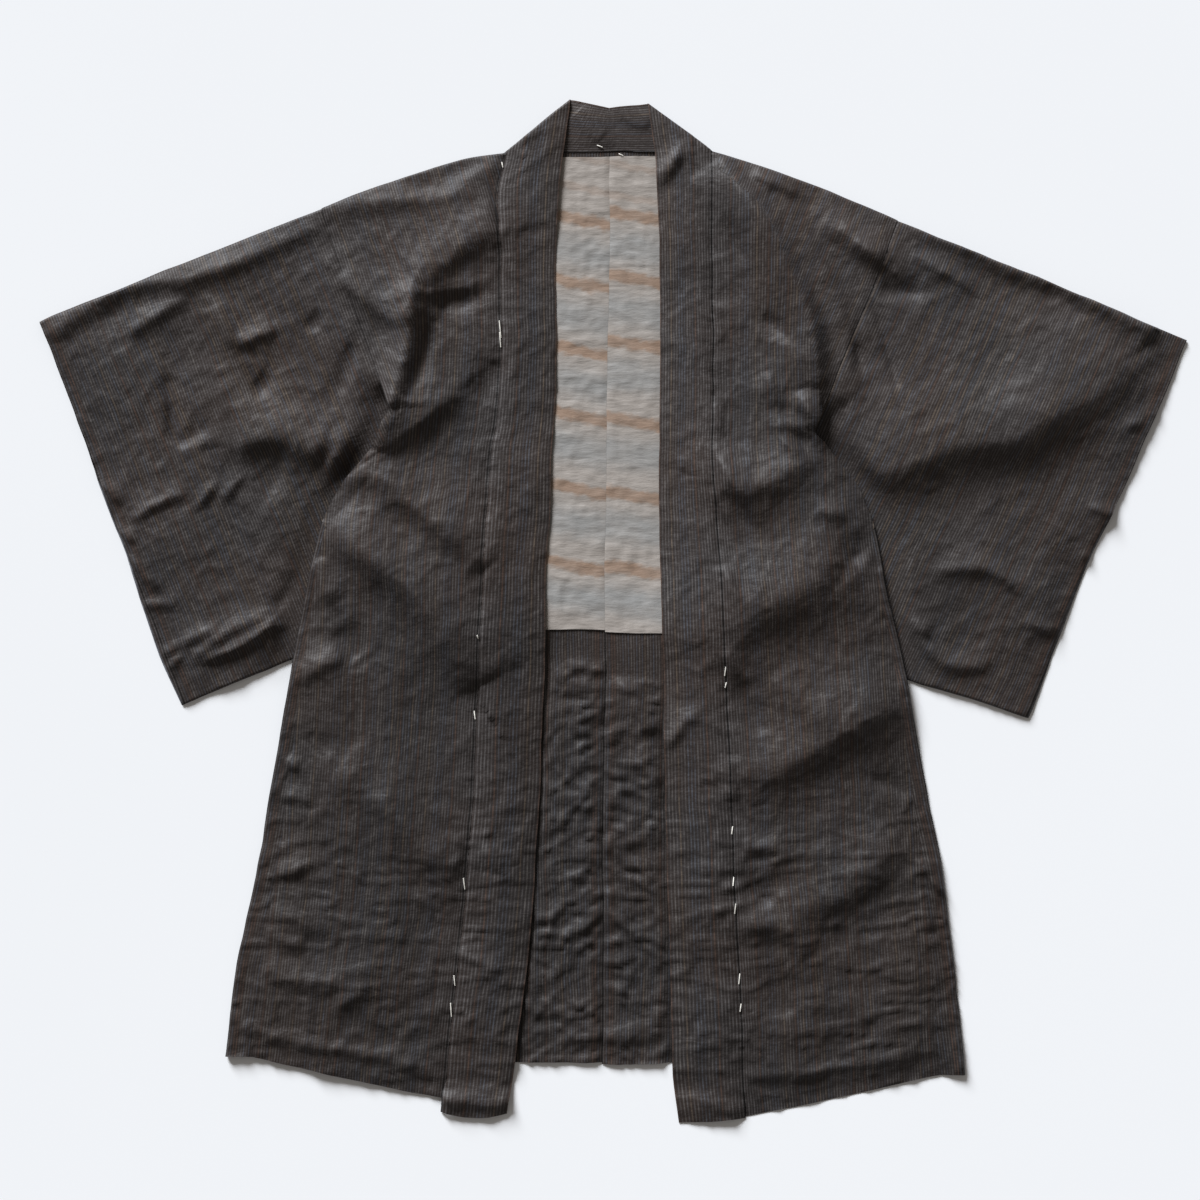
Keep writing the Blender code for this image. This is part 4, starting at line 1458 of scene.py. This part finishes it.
@dataclass
class Gusset(Sheet):
    """The tapered strip between front and back, folded along the side edge."""

    solid: str = "gusset"
    flat: tuple[float, float] = (0.07, 0.58)
    area: float = 0.024
    held: Held = Held.FOLDED
    layer_columns: int = 9
    strip_rows: int = 190
    below_slit: float = 1.0
    widest_fold: float = 0.6        # the fold's radius as a share of the width, where that is small
    lap_drop: float = 0.35
    lap_ramp: float = 2.0

    def lay_out(self) -> tuple[int, int]:
        """The fold lies along the rows."""
        self.away, _ = fold_rows(1.0, 1.0, self.layer_columns, self.layer_columns, 0.0)
        return len(self.away) - 1, self.strip_rows

    def place(self, column: Array, row: Array) -> Laid:
        """Where each vertex of the grid goes."""
        cut, drape = self.cut, self.drape
        y = mix(cut.slit_y - self.below_slit, cut.side_hem, row / self.rows)
        width = cut.gusset_width(y)
        radius = np.minimum(FRONT_FOLD, self.widest_fold * width)
        turn = np.pi * (column - self.layer_columns) / (2 * FOLD_STEPS)
        in_fold = (turn > 0) & (column < self.layer_columns + 2 * FOLD_STEPS)
        folded = radius * (1 - np.sin(np.clip(turn, 0, np.pi)))
        away = np.where(in_fold, folded, mix(radius, width + LAP, self.away[column]))
        out = cut.line("side", y) - away
        upper = column <= self.layer_columns + FOLD_STEPS
        rounding = fold_rounding(away, radius) * np.where(upper, 1, -1)
        z = between(drape.back(out, y), drape.front(out, y), rounding)
        z = z - np.where(upper, self.lap_drop * smooth((away - width) / self.lap_ramp), 0)
        return Laid(out, y, z, u=np.where(upper, -away, away), v=y)


@dataclass
class CollarBand(Sheet):
    """The doubled band: up the front, folded over at the neck, then along the back neck."""

    solid: str = "collar"
    over: str = "body"
    flat: tuple[float, float] = (0.075, 1.18)
    area: float = 0.085
    held: Held = Held.FOLDED
    wall: float = BAND_WALL
    band_columns: int = 22
    front_rows: int = 340
    back_rows: int = 36
    width: float = 58.0
    back_length: float = 100.0
    neck_end: float = 0.15          # the band leans to the neck tip over this share of the front
    hem_end: float = 0.03           # its end bows over this share
    centre_drop: float = 10.0       # the upper edge at the centre back below the neck tip
    puff: float = 0.9
    puff_reach: float = 16.0
    edge_dip: float = 0.7           # the band is pressed flat along both edges
    edge_reach: float = 2.5
    roll: float = 2.0               # the end of the band rolls up a little
    bowed_roll: float = 0.6         # and more where it is bowed
    roll_above: float = 12.0
    roll_reach: float = 11.0
    tuck: float = 1.7               # the seam edge goes down under the front
    tuck_reach: float = 4.0

    def lay_out(self) -> tuple[int, int]:
        """The fold lies across the columns."""
        rows = (self.front_rows, self.back_rows)
        self.away, self.layer = fold_rows(self.length, self.back_length, *rows, BAND_FOLD)
        return self.band_columns, len(self.away) - 1

    def front_place(self, down: Array, across: Array) -> tuple[Array, Array]:
        """out and y along the front, 0 to 1 down from the neck and 0 to 1 across from the seam."""
        cut = self.cut
        seam_y = mix(cut.neck[1], cut.collar_hem, down)
        rise = (cut.neck_tip[1] - cut.neck[1]) * np.maximum(0.0, 1 - down / self.neck_end)
        edge_y = seam_y + rise + (cut.edge_hem - cut.collar_hem) * down**4
        seam = cut.line("seam", np.minimum(seam_y, cut.neck[1])) - SEAM
        end = smooth((down - (1 - self.hem_end)) / self.hem_end)
        bow = cut.band_end_bow * np.sin(np.pi * across) * end
        return mix(seam, cut.line("edge", edge_y), across), mix(seam_y, edge_y, across) - bow

    def back_place(self, share: Array, across: Array) -> tuple[Array, Array]:
        """out and y along the back neck, 0 to 1 from the fold to the centre."""
        cut = self.cut
        start_out = mix(cut.neck[0] - SEAM, cut.neck_tip[0], across)
        start_y = mix(cut.neck[1], cut.neck_tip[1], across)
        centre_y = mix(cut.neck[1] + SEAM, RIGHT.neck_tip[1] - self.centre_drop, across)
        return mix(start_out, cut.centre[0] + SEAM / 2, share), mix(start_y, centre_y, share)

    def place(self, column: Array, row: Array) -> Laid:
        """Where each vertex of the grid goes."""
        cut, drape = self.cut, self.drape
        across = column / self.columns
        upper = self.layer[row] > 0
        share = self.away[row] / self.back_length
        front_out, front_y = self.front_place(self.away[row] / self.length, across)
        back_out, back_y = self.back_place(share, across)
        out, y = np.where(upper, front_out, back_out), np.where(upper, front_y, back_y)
        creases = drape.neck_relief.at(drape.world(out), y)
        edge_away = np.minimum(across, 1 - across) * self.width
        puff = self.puff * smooth(edge_away / self.puff_reach)
        puff = puff - self.edge_dip * groove(edge_away, self.edge_reach)
        roll = self.roll + self.bowed_roll * cut.band_end_bow
        hem_roll = roll * groove(y - cut.collar_hem - self.roll_above, self.roll_reach) * upper
        tucked = self.tuck * smooth(1 - across * self.width / self.tuck_reach) * (not cut.band_over)
        high = drape.front(out, y, BAND_RISE) + puff + hem_roll + creases - tucked
        rounding = fold_rounding(self.away[row], BAND_FOLD)
        z = between(BAND_FLOOR, high, rounding * self.layer[row])
        lower_puff = np.clip(puff, 0, 1) + np.clip(creases, 0, 2)
        z = np.where(upper, z, z + lower_puff * smooth(self.away[row] / OPEN_EDGE))
        v = np.where(upper, y, 2 * cut.neck[1] - self.back_length * share)
        return Laid(out, y, z, u=across * self.width, v=v)


@dataclass
class BackLining(Sheet):
    """The light lining over the upper back."""

    solid: str = "lining"
    over: str = "body"
    flat: tuple[float, float] = (0.30, 0.55)
    area: float = 0.140
    slot: Slot = Slot.LINING
    wall: float = LINING_WALL
    lining_columns: int = 80
    neck_columns: int = 30
    lining_rows: int = 170
    below_fold: float = 5.0
    inset_from: float = 0.6         # share of the way across where the side turns in
    hem_roll: float = 1.2           # its hem is a little thicker
    hem_reach: float = 9.0

    def lay_out(self) -> tuple[int, int]:
        """A single layer."""
        return self.lining_columns, self.lining_rows

    def place(self, column: Array, row: Array) -> Laid:
        """Where each vertex of the grid goes."""
        cut, drape = self.cut, self.drape
        reach = cut.shoulder[1] - cut.lining_y
        down = mix(self.below_fold / self.length, reach / self.length, row / self.rows)
        across = column / self.columns
        out, y = cut.back_point(down, across, self.neck_columns / self.columns)
        out = out - LINING_INSET * smooth((across - self.inset_from) / (1 - self.inset_from))
        height = crinkled(LINING_CRINKLES, drape.world(out), y)
        height = height + self.hem_roll * smooth((cut.lining_y + self.hem_reach - y) / self.hem_reach)
        height = height * cut.beside_centre(out, y, least=0.3, reach=4)
        z = drape.back(out, y) + LINING_RISE + drape.uncovered(out, y) * height
        return Laid(out, y, z, u=out, v=cut.neck[1] - y)


@dataclass
class BastingStitches:
    """The white stitches left along the collar seams and at the back neck."""

    drapes: tuple[Drape, ...]
    radius: float = 0.65
    slant: float = 1.0
    lift: float = 0.6
    arch: float = 0.5
    neck_height: float = 3.0
    neck_stitches: tuple[tuple[tuple[float, float], tuple[float, float]], ...] = (
        ((-17, 492), (-12, 490)),
        ((6, 483), (10, 481)),
    )

    def build(self, thread: bpy.types.Material) -> bpy.types.Object:
        """Makes all the stitches as one piece."""
        mesh = bmesh.new()
        for drape in self.drapes:
            for y, length in drape.cut.stitches:
                out = float(drape.cut.line("seam", y))
                self.stitch(mesh, drape, (out, y + length / 2), (out - self.slant, y - length / 2))
        for drape in self.drapes:
            self.stitch(mesh, drape, *drape.cut.hem_stitch)
        for ends in self.neck_stitches:
            self.capsule(mesh, *(Vector((*end, self.neck_height)) for end in ends))
        data = as_mesh("basting_stitches", mesh)
        piece = link("basting_stitches", data)
        data.materials.append(thread)
        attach(piece, BODY)
        LOG.info("basting_stitches: %d faces", len(data.polygons))
        return piece

    def stitch(self, mesh: bmesh.types.BMesh, drape: Drape, start: tuple, end: tuple) -> None:
        """One stitch on the front, from one point in out and y to another."""
        out, y = np.array([start, end], float).T
        level = drape.front(out, y, BAND_RISE) + self.lift
        self.capsule(mesh, *(Vector(corner) for corner in zip(*drape.shift(out, y), level)))

    def capsule(self, mesh: bmesh.types.BMesh, start: Vector, end: Vector) -> None:
        """A rounded length of thread, a little arched, between two points in millimetres."""
        ball = bmesh.ops.create_uvsphere(mesh, u_segments=10, v_segments=8, radius=self.radius)["verts"]
        turn = Vector((0, 0, 1)).rotation_difference(end - start).to_matrix()
        bmesh.ops.rotate(mesh, verts=ball, matrix=turn)
        along = (end - start).normalized()
        for corner in ball:
            ahead = corner.co.dot(along)
            reach = (end - start).length / 2 * (1 if ahead > 1e-4 else -1 if ahead < -1e-4 else 0)
            lift = self.arch if reach == 0 else 0.0
            corner.co = ((start + end) / 2 + corner.co + along * reach + Vector((0, 0, lift))) * MM


@dataclass
class Studio:
    """The table, the window light and the camera overhead."""

    camera_place: tuple[float, float, float] = (-0.0143, 0.0106, 3.0)
    view_width: float = 1.272
    sensor: float = 36.0
    window_strength: float = 6.9
    window_spread: float = 24.0
    window_from: tuple[float, float, float] = (-0.46, 0.888, 0.44)
    window_colour: tuple[float, float, float] = (0.925, 0.96, 1.0)
    fill: float = 0.20
    fill_colour: tuple[float, float, float] = (1.0, 0.94, 0.875)
    floor_reach: float = 30.0

    def build(self) -> None:
        """Sets the whole stage."""
        self.lay_floor()
        self.hang_lights()
        self.place_camera()

    def lay_floor(self) -> None:
        """The table top, at z = 0."""
        mesh = bmesh.new()
        bmesh.ops.create_grid(mesh, x_segments=4, y_segments=4, size=self.floor_reach)
        data = as_mesh("table_top", mesh)
        data.materials.append(PaleFloor().material())
        link("table_top", data)

    def hang_lights(self) -> None:
        """A soft window light from beyond the collar and pale light all round."""
        light = bpy.data.lights.new("window", "SUN")
        light.energy = self.window_strength
        light.color = self.window_colour
        light.angle = math.radians(self.window_spread)
        window = link("window", light)
        window.location = self.window_from
        window.rotation_euler = (-Vector(self.window_from)).to_track_quat("-Z", "Y").to_euler()
        world = bpy.data.worlds.new("pale_room")
        world.use_nodes = True
        background = world.node_tree.nodes["Background"]
        background.inputs["Color"].default_value = (*self.fill_colour, 1.0)
        background.inputs["Strength"].default_value = self.fill
        bpy.context.scene.world = world

    def place_camera(self) -> None:
        """A camera straight above, with the collar at the top of its frame."""
        camera_data = bpy.data.cameras.new("overhead")
        camera_data.sensor_width = self.sensor
        camera_data.lens = self.sensor * self.camera_place[2] / self.view_width
        camera = link("overhead", camera_data)
        camera.location = self.camera_place
        bpy.context.scene.camera = camera


def main() -> None:
    """Builds the jacket and its stage."""
    logging.basicConfig(level=logging.INFO, format="%(name)s %(message)s")
    scene = bpy.context.scene
    scene.collection.children.link(bpy.data.collections.new(COLLECTION))
    scene.view_settings.view_transform = "Standard"
    Studio().build()
    silk = StripedSilk().material()
    # The band's copy of the silk is painted lighter by tone 1.14: a painted sheen.
    band_silk = StripedSilk("striped_silk_band", 1.14).material()
    drapes = (Drape(RIGHT), Drape(LEFT))
    for drape in drapes:
        cut = drape.cut
        lining = BandedLining(cut.side, cut.bands, cut.band_slope).material()
        for piece in (BodyCloth, SleeveBag, Gusset):
            piece(drape).build(silk)
        CollarBand(drape).build(band_silk)
        BackLining(drape).build(lining)
    BastingStitches(drapes).build(BastingThread().material())


if __name__ == "__main__":
    main()
